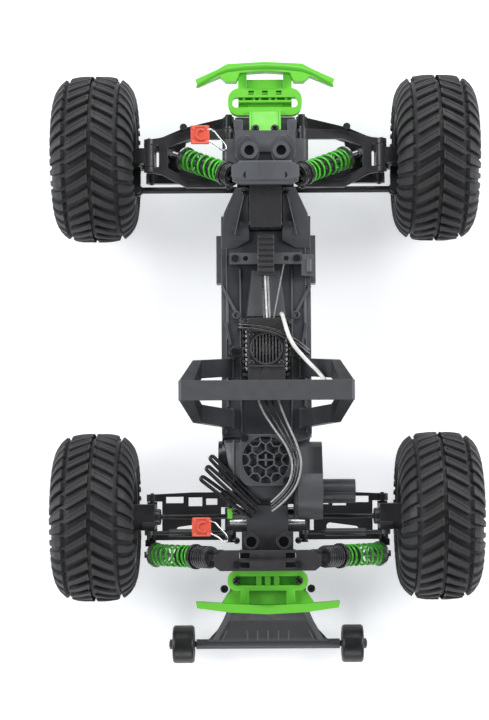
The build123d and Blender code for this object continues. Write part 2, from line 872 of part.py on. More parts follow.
springs = []
for axle_name, top, foot, span in (
    ("front", front_shock_top, front_shock_foot, front_spring_span),
    ("rear", rear_shock_top, rear_shock_foot, rear_spring_span),
):
    seat = shock_frame(top, foot).location
    length = (foot - top).length
    save_both(make_shock_body(span[0]).moved(seat), f"{axle_name}_shock_body")
    save_both(make_shock_shaft(span[1], length).moved(seat), f"{axle_name}_shock_shaft")
    spring = make_spring(*span).moved(seat)
    springs += [spring, mirror(spring, about=Plane.YZ)]

save(Compound(springs), "coil_springs")

# ---------------------------------------------------------------- drivetrain

diff_gear_half_t = 4
final_mesh_angle = atan2(top_shaft_z - axle_z, top_shaft_y - rear_axle_y)
motor_mesh_angle = atan2(motor_z - top_shaft_z, motor_y - top_shaft_y)


def facing_gap(teeth, angle):
    """Turn of a gear that puts a gap, not a tooth, at an angle."""
    return angle + pi / teeth


def toothed_wheel(teeth, module, phase, x0, x1, y, z):
    """Spur gear as a part of its own, its axis along X."""
    with BuildPart() as gear:
        with BuildSketch(yz_plane(x0, y, z)):
            with BuildLine():
                Polyline(*gear_outline(teeth, module, phase), close=True)
            make_face()
        extrude(amount=x1 - x0)
    return gear.part


with BuildPart() as diff_gear:
    add(
        toothed_wheel(
            final_teeth,
            final_module,
            final_mesh_angle,
            -diff_gear_half_t,
            diff_gear_half_t,
            rear_axle_y,
            axle_z,
        )
    )
    rod_along_x(rear_axle_y, axle_z, 5, -cup_in_x - 1, cup_in_x + 1)
    rod_along_x(rear_axle_y, axle_z, 14, -9, 9)
    for side in (-1, 1):
        rod_along_x(rear_axle_y, axle_z, cup_r, side * (cup_in_x - 1), side * cup_mouth_x)
        rod_along_x(
            rear_axle_y,
            axle_z,
            cup_bore_r,
            side * cup_in_x,
            side * (cup_mouth_x + 1),
            mode=Mode.SUBTRACT,
        )

save(diff_gear.part, "diff_gear")

spur_x = (31, 37)

with BuildPart() as spur_gear:
    add(
        toothed_wheel(
            top_pinion_teeth,
            final_module,
            facing_gap(top_pinion_teeth, final_mesh_angle + pi),
            -diff_gear_half_t - 1,
            diff_gear_half_t + 1,
            top_shaft_y,
            top_shaft_z,
        )
    )
    rod_along_x(top_shaft_y, top_shaft_z, 2.5, -15, 52)
    add(
        toothed_wheel(
            spur_teeth,
            motor_module,
            motor_mesh_angle,
            *spur_x,
            top_shaft_y,
            top_shaft_z,
        )
    )
    # slipper plate and spring
    rod_along_x(top_shaft_y, top_shaft_z, 12, 37, 40)
    rod_along_x(top_shaft_y, top_shaft_z, 5, 39, 50)

save(spur_gear.part, "spur_gear")

with BuildPart() as motor_rotor:
    add(
        toothed_wheel(
            motor_pinion_teeth,
            motor_module,
            facing_gap(motor_pinion_teeth, motor_mesh_angle + pi),
            spur_x[0] - 1,
            spur_x[1] + 1,
            motor_y,
            motor_z,
        )
    )
    rod_along_x(motor_y, motor_z, 4.5, 27, spur_x[0])
    rod_along_x(motor_y, motor_z, 1.6, -35, spur_x[1])
    rod_along_x(motor_y, motor_z, 12, -27, mount_plate_x - 9)

save(motor_rotor.part, "motor_rotor")

with BuildPart() as drive_motor:
    rod_along_x(motor_y, motor_z, motor_r, motor_left_x + 3, mount_plate_x - 0.05)
    rod_along_x(motor_y, motor_z, motor_r - 3, motor_left_x, motor_left_x + 4)
    rod_along_x(motor_y, motor_z, 5.5, mount_plate_x - 1, mount_plate_x + 2.5)
    rod_along_x(motor_y, motor_z, motor_r - 1.5, -32, mount_plate_x - 4, mode=Mode.SUBTRACT)
    rod_along_x(motor_y, motor_z, 1.6 + run, -36, mount_plate_x + 3, mode=Mode.SUBTRACT)

save(drive_motor.part, "drive_motor")

case_r = final_teeth * final_module / 2 + final_module + 2.5
top_case_r = 9.6
fan_z = (95.2, 98.6)
grille_z = (100, 103.5)
grille_x = (-21, 19)
grille_y = (-98, -57.02)
grille_centre = (-1, -77)

with BuildPart() as gearbox_case:
    rod_along_x(rear_axle_y, axle_z, case_r, -case_half_x, case_half_x)
    rod_along_x(top_shaft_y, top_shaft_z, top_case_r, -case_half_x, case_half_x)
    # tail block under the shock tower
    block(-case_half_x, case_half_x, tail_rear_y, rear_axle_y, 54, 80)
    # inside, round the two gears
    rod_along_x(
        rear_axle_y,
        axle_z,
        case_r - 2,
        -case_half_x + case_wall,
        case_half_x - case_wall,
        mode=Mode.SUBTRACT,
    )
    rod_along_x(
        top_shaft_y,
        top_shaft_z,
        top_case_r - 1.4,
        -case_half_x + case_wall,
        case_half_x - case_wall,
        mode=Mode.SUBTRACT,
    )
    # spacer and plate that carry the motor
    rod_along_x(top_shaft_y, top_shaft_z, 7, case_half_x - 1, mount_plate_x)
    with BuildSketch(yz_plane(mount_plate_x, 0, 0)):
        with BuildLine():
            spur_cover_r = spur_teeth * motor_module / 2 + 2.8
            Polyline(
                (motor_y + 14, motor_z - 9),
                (motor_y + 14, motor_z + 9),
                (motor_y + 8, motor_z + 15),
                (top_shaft_y + 9, top_shaft_z + spur_cover_r - 2),
                (top_shaft_y - 9, top_shaft_z + spur_cover_r - 2),
                (top_shaft_y - spur_cover_r + 1, top_shaft_z + 9),
                (top_shaft_y - spur_cover_r + 1, top_shaft_z - 3),
                (top_shaft_y - 8, top_shaft_z - 17),
                (top_shaft_y + 9, top_shaft_z - spur_cover_r + 2),
                (motor_y + 8, motor_z - 15),
                close=True,
            )
        make_face()
    extrude(amount=mount_plate_t)
    # lugs for the inner pins of the lower arms, and studs for the camber links
    for side in (-1, 1):
        lug_y = (rear_rear_leg_y[1] + side_gap, rear_front_leg_y[0] - side_gap)
        block(
            min(side * 14, side * pin_in_x),
            max(side * 14, side * pin_in_x),
            *lug_y,
            lower_pin_z - barrel_r,
            lower_pin_z + barrel_r,
        )
        rod_along_y(side * pin_in_x, lower_pin_z, barrel_r, *lug_y)
        rod_along_y(side * pin_in_x, lower_pin_z, pin_r, -140, -110, mode=Mode.SUBTRACT)
        block(
            min(side * (case_half_x - 2), side * 33),
            max(side * (case_half_x - 2), side * 33),
            -131.4,
            -128.2,
            upper_pin_z - 4,
            upper_pin_z + 4,
        )
        rod_along_y(side * pin_in_x, upper_pin_z, pin_r, camber_y - 3.4, -130)
    # bearings
    rod_along_x(rear_axle_y, axle_z, 5 + run, -case_half_x - 1, case_half_x + 1, mode=Mode.SUBTRACT)
    rod_along_x(
        top_shaft_y,
        top_shaft_z,
        2.5 + run,
        -case_half_x + 0.5,
        mount_plate_x + mount_plate_t + 1,
        mode=Mode.SUBTRACT,
    )
    rod_along_x(motor_y, motor_z, 5.5 + run, mount_plate_x - 1, mount_plate_x + 4, mode=Mode.SUBTRACT)

save(gearbox_case.part, "gearbox_case")

cover_x = (mount_plate_x + mount_plate_t + 0.02, 43)
slipper_cap_x = 68.5
slipper_cap_r = 9.5
pinion_cover_r = motor_pinion_teeth * motor_module / 2 + 4.5


def cover_outline(shrink):
    """Outline round the two gears, made smaller by the wall thickness."""
    with BuildSketch() as outline:
        with Locations((top_shaft_y, top_shaft_z)):
            Circle(spur_cover_r - shrink)
        with Locations((motor_y + 1, motor_z)):
            Circle(pinion_cover_r - shrink)
        make_hull()
    return outline.sketch


with BuildPart() as gear_cover:
    with BuildSketch(yz_plane(cover_x[0], 0, 0)):
        add(cover_outline(0))
    extrude(amount=cover_x[1] - cover_x[0])
    rod_along_x(top_shaft_y, top_shaft_z, slipper_cap_r, cover_x[1] - 2, slipper_cap_x)
    with BuildSketch(yz_plane(cover_x[0], 0, 0)):
        add(cover_outline(1.8))
    extrude(amount=cover_x[1] - cover_x[0] - 2, mode=Mode.SUBTRACT)
    rod_along_x(
        top_shaft_y,
        top_shaft_z,
        slipper_cap_r - 1.8,
        cover_x[0],
        slipper_cap_x - 2,
        mode=Mode.SUBTRACT,
    )

save(gear_cover.part, "gear_cover")

# ---------------------------------------------------------------- motor cooling

fan_r = 16
fan_blades = 7

with BuildPart() as motor_fan:
    rod_along_z(*grille_centre, 5, *fan_z)
    with BuildSketch(Plane.XY.offset(fan_z[0] + 0.4)):
        with Locations(grille_centre):
            with PolarLocations(10.3, fan_blades):
                Rectangle(11.4, 2.2)
    extrude(amount=2.4)
    rod_along_z(*grille_centre, 1.2, fan_z[1], grille_z[0] + 1)

save(motor_fan.part, "motor_fan")

with BuildPart() as motor_fan_grille:
    block(*grille_x, *grille_y, *grille_z)
    chamfer(motor_fan_grille.edges().filter_by(Axis.Z), length=4)
    with BuildSketch(Plane.XY.offset(grille_z[0])):
        with Locations(grille_centre):
            with HexLocations(4.1, 5, 5):
                RegularPolygon(3.5, 6)
        with Locations(grille_centre):
            Circle(19, mode=Mode.INTERSECT)
            Circle(4.6, mode=Mode.SUBTRACT)
    extrude(amount=grille_z[1] - grille_z[0], mode=Mode.SUBTRACT)
    rod_along_z(*grille_centre, 1.2 + run, grille_z[0] - 1, grille_z[0] + 1.2, mode=Mode.SUBTRACT)
    # feet to the tub and to the gearbox
    block(grille_x[0] + 1, grille_x[1] - 1, tub_rear_y - 2.3, tub_rear_y - 0.02, 62, grille_z[1])
    block(-9, 9, grille_y[0] + 0.5, grille_y[0] + 4, 96.5, grille_z[0])

save(motor_fan_grille.part, "motor_fan_grille")

# ---------------------------------------------------------------- electronics on the deck

esc_y = (-28, 33)
esc_half_x = 18.5
esc_top_z = 97
esc_fan_centre = (0, 9)

with BuildPart() as speed_controller:
    block(-esc_half_x, esc_half_x, *esc_y, deck_z + 4.2, esc_top_z - 9)
    block(-esc_half_x + 4, esc_half_x - 4, *esc_y, esc_top_z - 9, esc_top_z)
    # heat sink fins each side of the fan
    for side in (-1, 1):
        for fin in range(9):
            fin_y = esc_fan_centre[1] - 20 + 5 * fin
            edge = side * (esc_half_x - 2.2)
            block(edge - 2.2, edge + 2.2, fin_y - 0.9, fin_y + 0.9, esc_top_z - 9.5, esc_top_z - 1)
    with Locations((*esc_fan_centre, esc_top_z)):
        Cylinder(12, 8, mode=Mode.SUBTRACT)
    with Locations((*esc_fan_centre, esc_top_z - 2)):
        Cylinder(4.5, 4)
    for side in (-1, 1):
        block(
            side * 25 - 3,
            side * 25 + 3,
            4,
            11,
            deck_z + 0.02,
            deck_z + 7,
        )
        block(
            min(side * (esc_half_x - 1), side * 23),
            max(side * (esc_half_x - 1), side * 23),
            4,
            11,
            deck_z + 5,
            deck_z + 7,
        )

save(speed_controller.part, "speed_controller")

strap_y = (76.5, 85.5)
strap_z = (80, 84)

with BuildPart() as wire_bracket:
    block(-27, 27, *strap_y, *strap_z)
    for side in (-1, 1):
        block(side * 25.5 - 3, side * 25.5 + 3, *strap_y, deck_z + 0.02, strap_z[1])
        rod_along_z(side * 16, 81, 2, strap_z[0], strap_z[1], mode=Mode.SUBTRACT)
    # switch block at the right-hand end
    block(28, 38, 67, 84, deck_z + 0.02, deck_z + 12)
    block(26, 30, 78, 84, strap_z[0], strap_z[1])
    rod_along_y(34, deck_z + 12, 2.2, 70, 80)

save(wire_bracket.part, "wire_bracket")

# ---------------------------------------------------------------- roll hoop

hoop_foot_x = 30
hoop_knee_x = 53
hoop_knee_z = 116

with BuildPart() as roll_hoop:
    block(
        -hoop_half_x,
        hoop_half_x,
        hoop_rear_y,
        hoop_front_y,
        hoop_top_z - hoop_bar_t,
        hoop_top_z,
    )
    chamfer(roll_hoop.edges().filter_by(Axis.Y).group_by(Axis.Z)[-1], length=2)
    for side in (-1, 1):
        for foot_y, knee_y, top_y in ((-4.5, -8, hoop_front_y - 3.5), (-45, -42, hoop_rear_y + 3.5)):
            with BuildSketch(Plane(origin=(side * hoop_foot_x, foot_y, deck_z + 3), z_dir=(0, 0, 1))):
                Rectangle(7, 14)
            with BuildSketch(Plane(origin=(side * hoop_knee_x, knee_y, hoop_knee_z), z_dir=(0, 0, 1))):
                Rectangle(7, 14)
            with BuildSketch(
                Plane(origin=(side * (hoop_half_x - 6), top_y, hoop_top_z - 4), z_dir=(0, 0, 1))
            ):
                Rectangle(11, 7)
            loft(ruled=True)
            block(
                side * hoop_foot_x - 4.5,
                side * hoop_foot_x + 4.5,
                foot_y - 8,
                foot_y + 8,
                deck_z + 0.02,
                deck_z + 4,
            )

save(roll_hoop.part, "roll_hoop")

# ---------------------------------------------------------------- bumpers

bumper_z = (64, 74)

with BuildPart() as front_bumper:
    # gull-wing bar
    with BuildSketch(Plane.XY.offset(bumper_z[0])):
        with BuildLine():
            Polyline(
                (0, 240),
                (30, 238.5),
                (38, 234),
                (55.5, 226),
                (53.5, 221),
                (36, 228.5),
                (31, 224),
                (23, 224),
                (20, 231),
                (0, 232.5),
                (0, 240),
            )
        make_face()
    extrude(amount=bumper_z[1] - bumper_z[0])
    # posts
    block(14.5, 21.5, 216, 233, bumper_z[0], bumper_z[1] - 1)
    # oval rim with three small windows
    with BuildSketch(Plane.XY.offset(bumper_z[0] + 2)):
        with Locations((0, 208)):
            RectangleRounded(59, 22, 9)
            with Locations((0, -0.5)):
                RectangleRounded(52, 8, 3, mode=Mode.SUBTRACT)
            with GridLocations(11, 0, 3, 1):
                with Locations((0, 7.2)):
                    Rectangle(4.5, 3.2, mode=Mode.SUBTRACT)
        with Locations((-20, 208)):
            Rectangle(40, 60, mode=Mode.SUBTRACT)
    extrude(amount=bumper_z[1] - bumper_z[0] - 3)
    mirror(about=Plane.YZ)
    # tab screwed down on the bulkhead's nose
    block(-12.7, 12.7, 182.2, 199, bumper_seat_z + 0.02, bumper_seat_z + 3)

save(front_bumper.part, "front_bumper")

rear_seat_z = 66

with BuildPart() as rear_bumper:
    with BuildSketch(Plane.XY.offset(rear_seat_z)):
        with BuildLine():
            Polyline(
                (0, -198),
                (30, -196.5),
                (55.5, -193),
                (56.5, -188),
                (28, -190),
                (0, -191),
                (0, -198),
            )
        make_face()
    extrude(amount=11)
    block(14.5, 21.5, -192, -179, rear_seat_z + 1, rear_seat_z + 10)
    with BuildSketch(Plane.XY.offset(rear_seat_z + 1)):
        with Locations((0, -172)):
            RectangleRounded(63, 15.5, 7)
            RectangleRounded(54, 7, 3, mode=Mode.SUBTRACT)
        with Locations((-20, -172)):
            Rectangle(40, 30, mode=Mode.SUBTRACT)
    extrude(amount=9)
    mirror(about=Plane.YZ)
    # web to the chassis tail
    block(-26, 26, -178, -166, rear_seat_z + 0.02, rear_seat_z + 3)

save(rear_bumper.part, "rear_bumper")

# ---------------------------------------------------------------- rear shock tower

rear_shelf_z = 93

with BuildPart() as rear_shock_tower:
    with BuildSketch(Plane.XY.offset(116)):
        with BuildLine():
            Polyline(
                (-40.5, -151),
                (-34, -146),
                (34, -146),
                (40.5, -151),
                (40.5, -158),
                (36, -161.5),
                (-36, -161.5),
                (-40.5, -158),
                close=True,
            )
        make_face()
        with Locations((0, -153.5)):
            with GridLocations(35, 7.2, 2, 2):
                Rectangle(8, 4.2, mode=Mode.SUBTRACT)
    extrude(amount=7)
    # leg bolted behind the gearbox, with a shelf for the rear body posts
    block(-20, 20, tail_rear_y - 4, tail_rear_y - 0.02, 58, 117)
    block(-20, 20, tail_rear_y - 2, -133, rear_shelf_z - 3, rear_shelf_z)
    block(-22, 22, tail_rear_y - 32, tail_rear_y - 0.02, 58, rear_seat_z)
    for side in (-1, 1):
        eye = Vector(side * rear_shock_top.X, rear_shock_top.Y, rear_shock_top.Z)
        block(eye.X - 3.5, eye.X + 3.5, -149.4, -146, eye.Z - 4, 117)
        rod_along_y(eye.X, eye.Z, shock_stud_r, -155.5, -147)

with BuildPart() as rear_sockets:
    for side in (-1, 1):
        rod_along_z(
            side * socket_x,
            rear_socket_y,
            socket_r - 0.9,
            rear_shelf_z + 0.02,
            rear_shelf_z + socket_length,
        )
        rod_along_z(
            side * socket_x,
            rear_socket_y,
            socket_bore_r,
            rear_shelf_z,
            rear_shelf_z + socket_length,
            mode=Mode.SUBTRACT,
        )

save(Compound([rear_shock_tower.part, rear_sockets.part]), "rear_shock_tower")

# ---------------------------------------------------------------- wheelie bar

with BuildPart() as wheelie_bar:
    block(-22, 22, -179, -152, 53, 57.98)
    # sloping plate, wider to the rear
    with BuildSketch(Plane.XZ.offset(178)):
        with Locations((0, 55.5)):
            Rectangle(60, 5)
    with BuildSketch(Plane.XZ.offset(205)):
        with Locations((0, 44)):
            Rectangle(66, 4)
    with BuildSketch(Plane.XZ.offset(-wheelie_y - 2)):
        with Locations((0, wheelie_z + 3)):
            Rectangle(100, 4)
    loft(ruled=True)
    rod_along_x(wheelie_y, wheelie_z, 4, -58, 58)
    rod_along_x(wheelie_y, wheelie_z, wheelie_axle_r, -80, 80)
    for side in (-1, 1):
        rod_along_x(wheelie_y, wheelie_z, 4, side * (wheelie_wheel_out_x + side_gap), side * 79.5)

save(wheelie_bar.part, "wheelie_bar")

with BuildPart() as wheelie_wheel:
    rod_along_x(
        wheelie_y,
        wheelie_z,
        wheelie_wheel_r,
        wheelie_wheel_in_x,
        wheelie_wheel_out_x,
    )
    fillet(wheelie_wheel.edges().filter_by(GeomType.CIRCLE), radius=2.5)
    for start, end in (
        (wheelie_wheel_in_x - 1, wheelie_wheel_in_x + 3),
        (wheelie_wheel_out_x - 3, wheelie_wheel_out_x + 1),
    ):
        rod_along_x(wheelie_y, wheelie_z, wheelie_wheel_r - 5, start, end, mode=Mode.SUBTRACT)
    rod_along_x(wheelie_y, wheelie_z, 4, wheelie_wheel_in_x, wheelie_wheel_out_x)
    rod_along_x(wheelie_y, wheelie_z, wheelie_axle_r + run, 58, 80, mode=Mode.SUBTRACT)

save_both(wheelie_wheel.part, "wheelie_wheel")

# ---------------------------------------------------------------- steel pins and screws

screw_head_r = 2.8
screw_head_h = 2


def button_screw(x, y, z):
    """Head of a button screw standing on a face."""
    rod_along_z(x, y, screw_head_r, z + 0.02, z + screw_head_h)


with BuildPart() as steel_hardware:
    for side in (-1, 1):
        rod_along_y(side * pin_in_x, lower_pin_z, pin_r, rear_leg_y[0] - 1.5, front_leg_y[1] + 0.5)
        rod_along_y(side * pin_in_x, lower_pin_z, 3, front_leg_y[1] + 0.4, front_leg_y[1] + 2)
        rod_along_y(side * pin_in_x, upper_pin_z, pin_r, 136.5, 184.5)
        rod_along_y(side * pin_in_x, upper_pin_z, 3, 184.4, 186)
        rod_along_y(side * pin_in_x, lower_pin_z, pin_r, rear_rear_leg_y[0] - 1.5, -102.5)
        rod_along_y(side * pin_in_x, lower_pin_z, 3, rear_rear_leg_y[0] - 2, rear_rear_leg_y[0] - 0.4)
        button_screw(side * 7.4, 185.5, bumper_seat_z + 3)
        button_screw(side * 14, 140, tower_bar_z + 8)
        button_screw(side * 23, -156.5, 123)
        button_screw(side * 24.3, 81, strap_z[1])
        button_screw(side * 25, 7.5, deck_z + 7)
    button_screw(-17, -60.5, grille_z[1])
    button_screw(15, -93.5, grille_z[1])

save(steel_hardware.part, "steel_hardware")

# ---------------------------------------------------------------- wiring


def run_lengths_and_turns(points):
    """Lengths of the straight runs, and the turn in degrees at each inner point."""
    runs = [Vector(*b) - Vector(*a) for a, b in zip(points, points[1:])]
    turns = [a.get_angle(b) for a, b in zip(runs, runs[1:])]
    return [leg.length for leg in runs], turns


def cable(points, r):
    """Round cable along straight runs joined by arcs as large as the runs allow."""
    lengths, turns = run_lengths_and_turns(points)
    radii = []
    for first, second, turn in zip(lengths, lengths[1:], turns):
        radii.append(0.45 * min(first, second) / tan(radians(turn / 2)))
    with BuildPart() as body:
        with BuildLine() as path:
            FilletPolyline(*points, radius=radii)
        with BuildSketch(Plane(origin=path.line @ 0, z_dir=path.line % 0)):
            Circle(r)
        sweep()
    print("cable radii", [round(radius, 1) for radius in radii])
    return body.part


esc_rear_y = esc_y[0] - 0.1
esc_front_y = esc_y[1] + 0.1
lead_spacing = 2.3

# each point of the inner fan lead, with the way its neighbours lie outside it
fan_lead_route = [
    ((-7, esc_rear_y, 86), (1.0, 0)),
    ((-5, -37, 93), (1.0, 0)),
    ((5, -53, 105), (0.9, 0.2)),
    ((16, -68, 110), (0.9, 0.2)),
    ((20.5, -84, 110.5), (1.0, 0)),
    ((15, -100, 110), (0.6, -0.8)),
    ((3, -110, 103.5), (0.1, -1.0)),
]

# hairpins of sleeved motor lead: where each is held and where it turns back
hairpins = [
    ((-11, -121, 99), (-51, -91, 96)),
    ((-9, -117.5, 103), (-46.5, -83, 100)),
    ((-7, -112.5, 99), (-43.5, -75, 97.5)),
]
hairpin_half_gap = 1.75

loom = []
for lead in range(4):
    loom.append(
        cable(
            [
                (x + lead * lead_spacing * out_x, y + lead * lead_spacing * out_y, z)
                for (x, y, z), (out_x, out_y) in fan_lead_route
            ],
            0.85,
        )
    )
for held, tip in hairpins:
    reach = (Vector(*tip) - Vector(*held)).normalized()
    aside = Vector(-reach.Y, reach.X, 0).normalized() * hairpin_half_gap
    ends = [Vector(*held) + aside, Vector(*tip) + aside, Vector(*tip) - aside, Vector(*held) - aside]
    with BuildPart() as hairpin:
        with BuildLine() as bend:
            FilletPolyline(*ends, radius=hairpin_half_gap - 0.02)
        with BuildSketch(Plane(origin=bend.line @ 0, z_dir=bend.line % 0)):
            Circle(1.45)
        sweep()
    loom.append(hairpin.part)
for wire in range(3):
    x = -3 + 2.2 * wire
    loom.append(cable([(x, 66.9, 87.6), (x + 0.6, 50, 83.5), (x + 1.4, esc_front_y, 84.5)], 0.8))
loom.append(cable([(14, strap_y[0] - 0.1, 82), (10, 56, 79.5), (5.5, esc_front_y, 80.5)], 0.6))
for strand in range(2):
    up = 2.5 * strand
    loom.append(
        cable(
            [
                (-22, 28 - up, deck_z + 2.4),
                (-22.5, 29 - up, 93),
                (-14, 27 - up, 103),
                (4, 24.5 - up, 101.5),
                (19, 18 - up, 99),
                (29, 11.5 - up, 89),
                (33.5, 9 - up, deck_z + 0.7),
            ],
            1.15,
        )
    )
loom.append(
    cable(
        [(12, 37, 86), (12.5, 36, 99), (18, 14, 106), (31, -1, 104), (42, -12, 109), (49, -23, 117)],
        1.1,
    )
)

with BuildPart() as connector:
    block(-6.5, 6.5, 67, 100, strap_z[1] + 0.02, strap_z[1] + 8)

save(Compound([connector.part, *loom]), "wiring_loom")
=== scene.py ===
"""Looks for the radio-controlled monster truck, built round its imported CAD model.

Lengths in the tables are in millimetres, in the CAD frame: +X right, +Y forward, +Z up.
"""

from math import cos, pi, radians, sin

import bmesh
import bpy
from mathutils import Matrix, Vector


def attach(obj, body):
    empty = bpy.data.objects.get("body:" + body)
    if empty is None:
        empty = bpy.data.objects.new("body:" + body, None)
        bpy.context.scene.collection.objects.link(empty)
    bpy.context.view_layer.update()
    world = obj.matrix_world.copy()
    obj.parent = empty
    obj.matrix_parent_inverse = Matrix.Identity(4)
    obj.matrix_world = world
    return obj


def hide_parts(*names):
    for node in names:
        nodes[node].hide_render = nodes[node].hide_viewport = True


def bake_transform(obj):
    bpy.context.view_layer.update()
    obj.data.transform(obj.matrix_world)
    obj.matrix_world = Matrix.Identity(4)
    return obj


MM = 0.001

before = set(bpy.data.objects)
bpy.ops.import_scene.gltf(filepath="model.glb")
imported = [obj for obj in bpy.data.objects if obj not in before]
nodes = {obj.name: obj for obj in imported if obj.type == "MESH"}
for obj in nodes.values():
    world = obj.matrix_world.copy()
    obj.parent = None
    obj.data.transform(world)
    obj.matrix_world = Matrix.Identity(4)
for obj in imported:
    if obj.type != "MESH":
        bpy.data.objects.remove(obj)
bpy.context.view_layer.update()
scene = bpy.context.scene

# ---------------------------------------------------------------- camera

camera_data = bpy.data.cameras.new("camera")
camera_data.lens = 87.2
camera_data.sensor_width = 36
camera_data.shift_x = -0.0314
camera_data.clip_end = 20
camera = bpy.data.objects.new("camera", camera_data)
camera.location = (0, -0.0811, 1.45)
camera.rotation_euler = (radians(3.43), 0, radians(-0.34))
scene.collection.objects.link(camera)
scene.camera = camera

# ---------------------------------------------------------------- materials

# sockets of a Mix node set to colour
MIX_FACTOR, MIX_A, MIX_B = 0, 6, 7
MIX_RESULT = 2
# pointiness of a flat face and of an edge that is lightened, for wear and a painted highlight
EDGE_POINTINESS = (0.505, 0.56)


class Shader:
    """A Principled material with helpers that add its procedural detail."""

    def __init__(self, name, colour, roughness, metallic=0.0, coat=0.0):
        self.material = bpy.data.materials.new(name)
        self.material.use_nodes = True
        self.tree = self.material.node_tree
        self.bsdf = self.tree.nodes["Principled BSDF"]
        self.colour = colour
        self.bsdf.inputs["Metallic"].default_value = metallic
        self.bsdf.inputs["Coat Weight"].default_value = coat
        self.bsdf.inputs["Coat Roughness"].default_value = 0.15
        self.roughness = roughness
        self.position = self.node("ShaderNodeTexCoord").outputs["Object"]
        self.normal = None

    def node(self, kind, **values):
        made = self.tree.nodes.new(kind)
        for key, value in values.items():
            setattr(made, key, value)
        return made

    def link(self, out, into):
        self.tree.links.new(out, into)

    def noise(self, scale, detail=3.0, stretch=None):
        """A noise value; scale is in features per metre."""
        texture = self.node("ShaderNodeTexNoise")
        texture.inputs["Scale"].default_value = scale
        texture.inputs["Detail"].default_value = detail
        place = self.position
        if stretch:
            mapping = self.node("ShaderNodeMapping")
            mapping.inputs["Scale"].default_value = stretch
            self.link(place, mapping.inputs["Vector"])
            place = mapping.outputs["Vector"]
        self.link(place, texture.inputs["Vector"])
        return texture.outputs["Fac"]

    def ramp(self, value, low, high, a=0.3, b=0.7):
        """Colour ramp between two colours."""
        ramp = self.node("ShaderNodeValToRGB")
        ramp.color_ramp.elements[0].position = a
        ramp.color_ramp.elements[1].position = b
        ramp.color_ramp.elements[0].color = (*low, 1)
        ramp.color_ramp.elements[1].color = (*high, 1)
        self.link(value, ramp.inputs["Fac"])
        return ramp.outputs["Color"]

    def span(self, value, low, high, a=0.3, b=0.7):
        """Map a 0 to 1 value onto another range."""
        mapped = self.node("ShaderNodeMapRange")
        mapped.inputs["From Min"].default_value = a
        mapped.inputs["From Max"].default_value = b
        mapped.inputs["To Min"].default_value = low
        mapped.inputs["To Max"].default_value = high
        self.link(value, mapped.inputs["Value"])
        return mapped.outputs["Result"]

    def paint(self, value, spread, edge_wear_and_highlight=None):
        """Vary the base colour by a share, and lighten exposed edges, for wear and a painted highlight."""
        dark = [c * (1 - spread) for c in self.colour]
        light = [c * (1 + spread) for c in self.colour]
        colour = self.ramp(value, dark, light)
        if edge_wear_and_highlight:
            geometry = self.node("ShaderNodeNewGeometry")
            edge = self.span(geometry.outputs["Pointiness"], 0.0, 1.0, *EDGE_POINTINESS)
            mix = self.node("ShaderNodeMix", data_type="RGBA")
            mix.inputs[MIX_B].default_value = (*edge_wear_and_highlight, 1)
            self.link(edge, mix.inputs[MIX_FACTOR])
            self.link(colour, mix.inputs[MIX_A])
            colour = mix.outputs[MIX_RESULT]
        self.link(colour, self.bsdf.inputs["Base Color"])

    def gloss(self, value, spread):
        """Vary the roughness about its middle value."""
        rough = self.span(value, self.roughness - spread, self.roughness + spread)
        self.link(rough, self.bsdf.inputs["Roughness"])

    def round_edges(self, radius):
        """Soften the shading of sharp edges, as a mould's small radii do."""
        bevel_node = self.node("ShaderNodeBevel", samples=6)
        bevel_node.inputs["Radius"].default_value = radius
        self.normal = bevel_node.outputs["Normal"]

    def bump(self, value, depth, strength=0.6):
        """Add relief of a given depth in metres."""
        bump = self.node("ShaderNodeBump")
        bump.inputs["Distance"].default_value = depth
        bump.inputs["Strength"].default_value = strength
        self.link(value, bump.inputs["Height"])
        if self.normal is not None:
            self.link(self.normal, bump.inputs["Normal"])
        self.normal = bump.outputs["Normal"]
        self.link(self.normal, self.bsdf.inputs["Normal"])


def moulded(name, colour, roughness, grain=0.00005, spread=0.12, coat=0.0, edge_wear_and_highlight=None):
    """Injection-moulded plastic: spark-eroded grain, faint flow marks, lighter sharp edges."""
    s = Shader(name, colour, roughness, coat=coat)
    s.round_edges(0.0006)
    s.paint(s.noise(28, 4), spread, edge_wear_and_highlight)
    s.gloss(s.noise(140, 5), 0.09)
    s.bump(s.noise(2600, 2), grain)
    s.bump(s.noise(60, 2), 0.00025, 0.25)
    return s.material


def rubber(name, colour):
    """Tyre rubber: fine pebble, dusty bloom and mould swirl."""
    s = Shader(name, colour, 0.62)
    # lighter lug edges: partly wear, partly a painted highlight that makes the lips show
    s.paint(s.noise(90, 6), 0.35, edge_wear_and_highlight=[c * 2.4 for c in colour])
    s.gloss(s.noise(45, 4), 0.12)
    s.bump(s.noise(1500, 3), 0.00012)
    return s.material


def metal(name, colour, roughness, lines=(1, 1, 1)):
    """Turned or drawn metal, with fine scratches along one way."""
    s = Shader(name, colour, roughness, metallic=1.0)
    s.paint(s.noise(120, 4), 0.12)
    s.gloss(s.noise(700, 3, lines), 0.1)
    s.bump(s.noise(1800, 2, lines), 0.00003)
    return s.material


def sleeve(name, colour, roughness, coat):
    """Silicone wire insulation: slightly wavy and waxy, with print-free skin."""
    s = Shader(name, colour, roughness, coat=coat)
    s.paint(s.noise(160, 3), 0.2)
    s.gloss(s.noise(260, 3), 0.08)
    s.bump(s.noise(420, 2), 0.00012, 0.5)
    return s.material


def wrapped(name, colour):
    """Shrink film round a battery pack, with soft creases."""
    s = Shader(name, colour, 0.3, coat=0.3)
    s.paint(s.noise(40, 3), 0.15)
    s.gloss(s.noise(90, 3), 0.08)
    s.bump(s.noise(70, 4, (1, 0.3, 1)), 0.0005, 0.6)
    return s.material


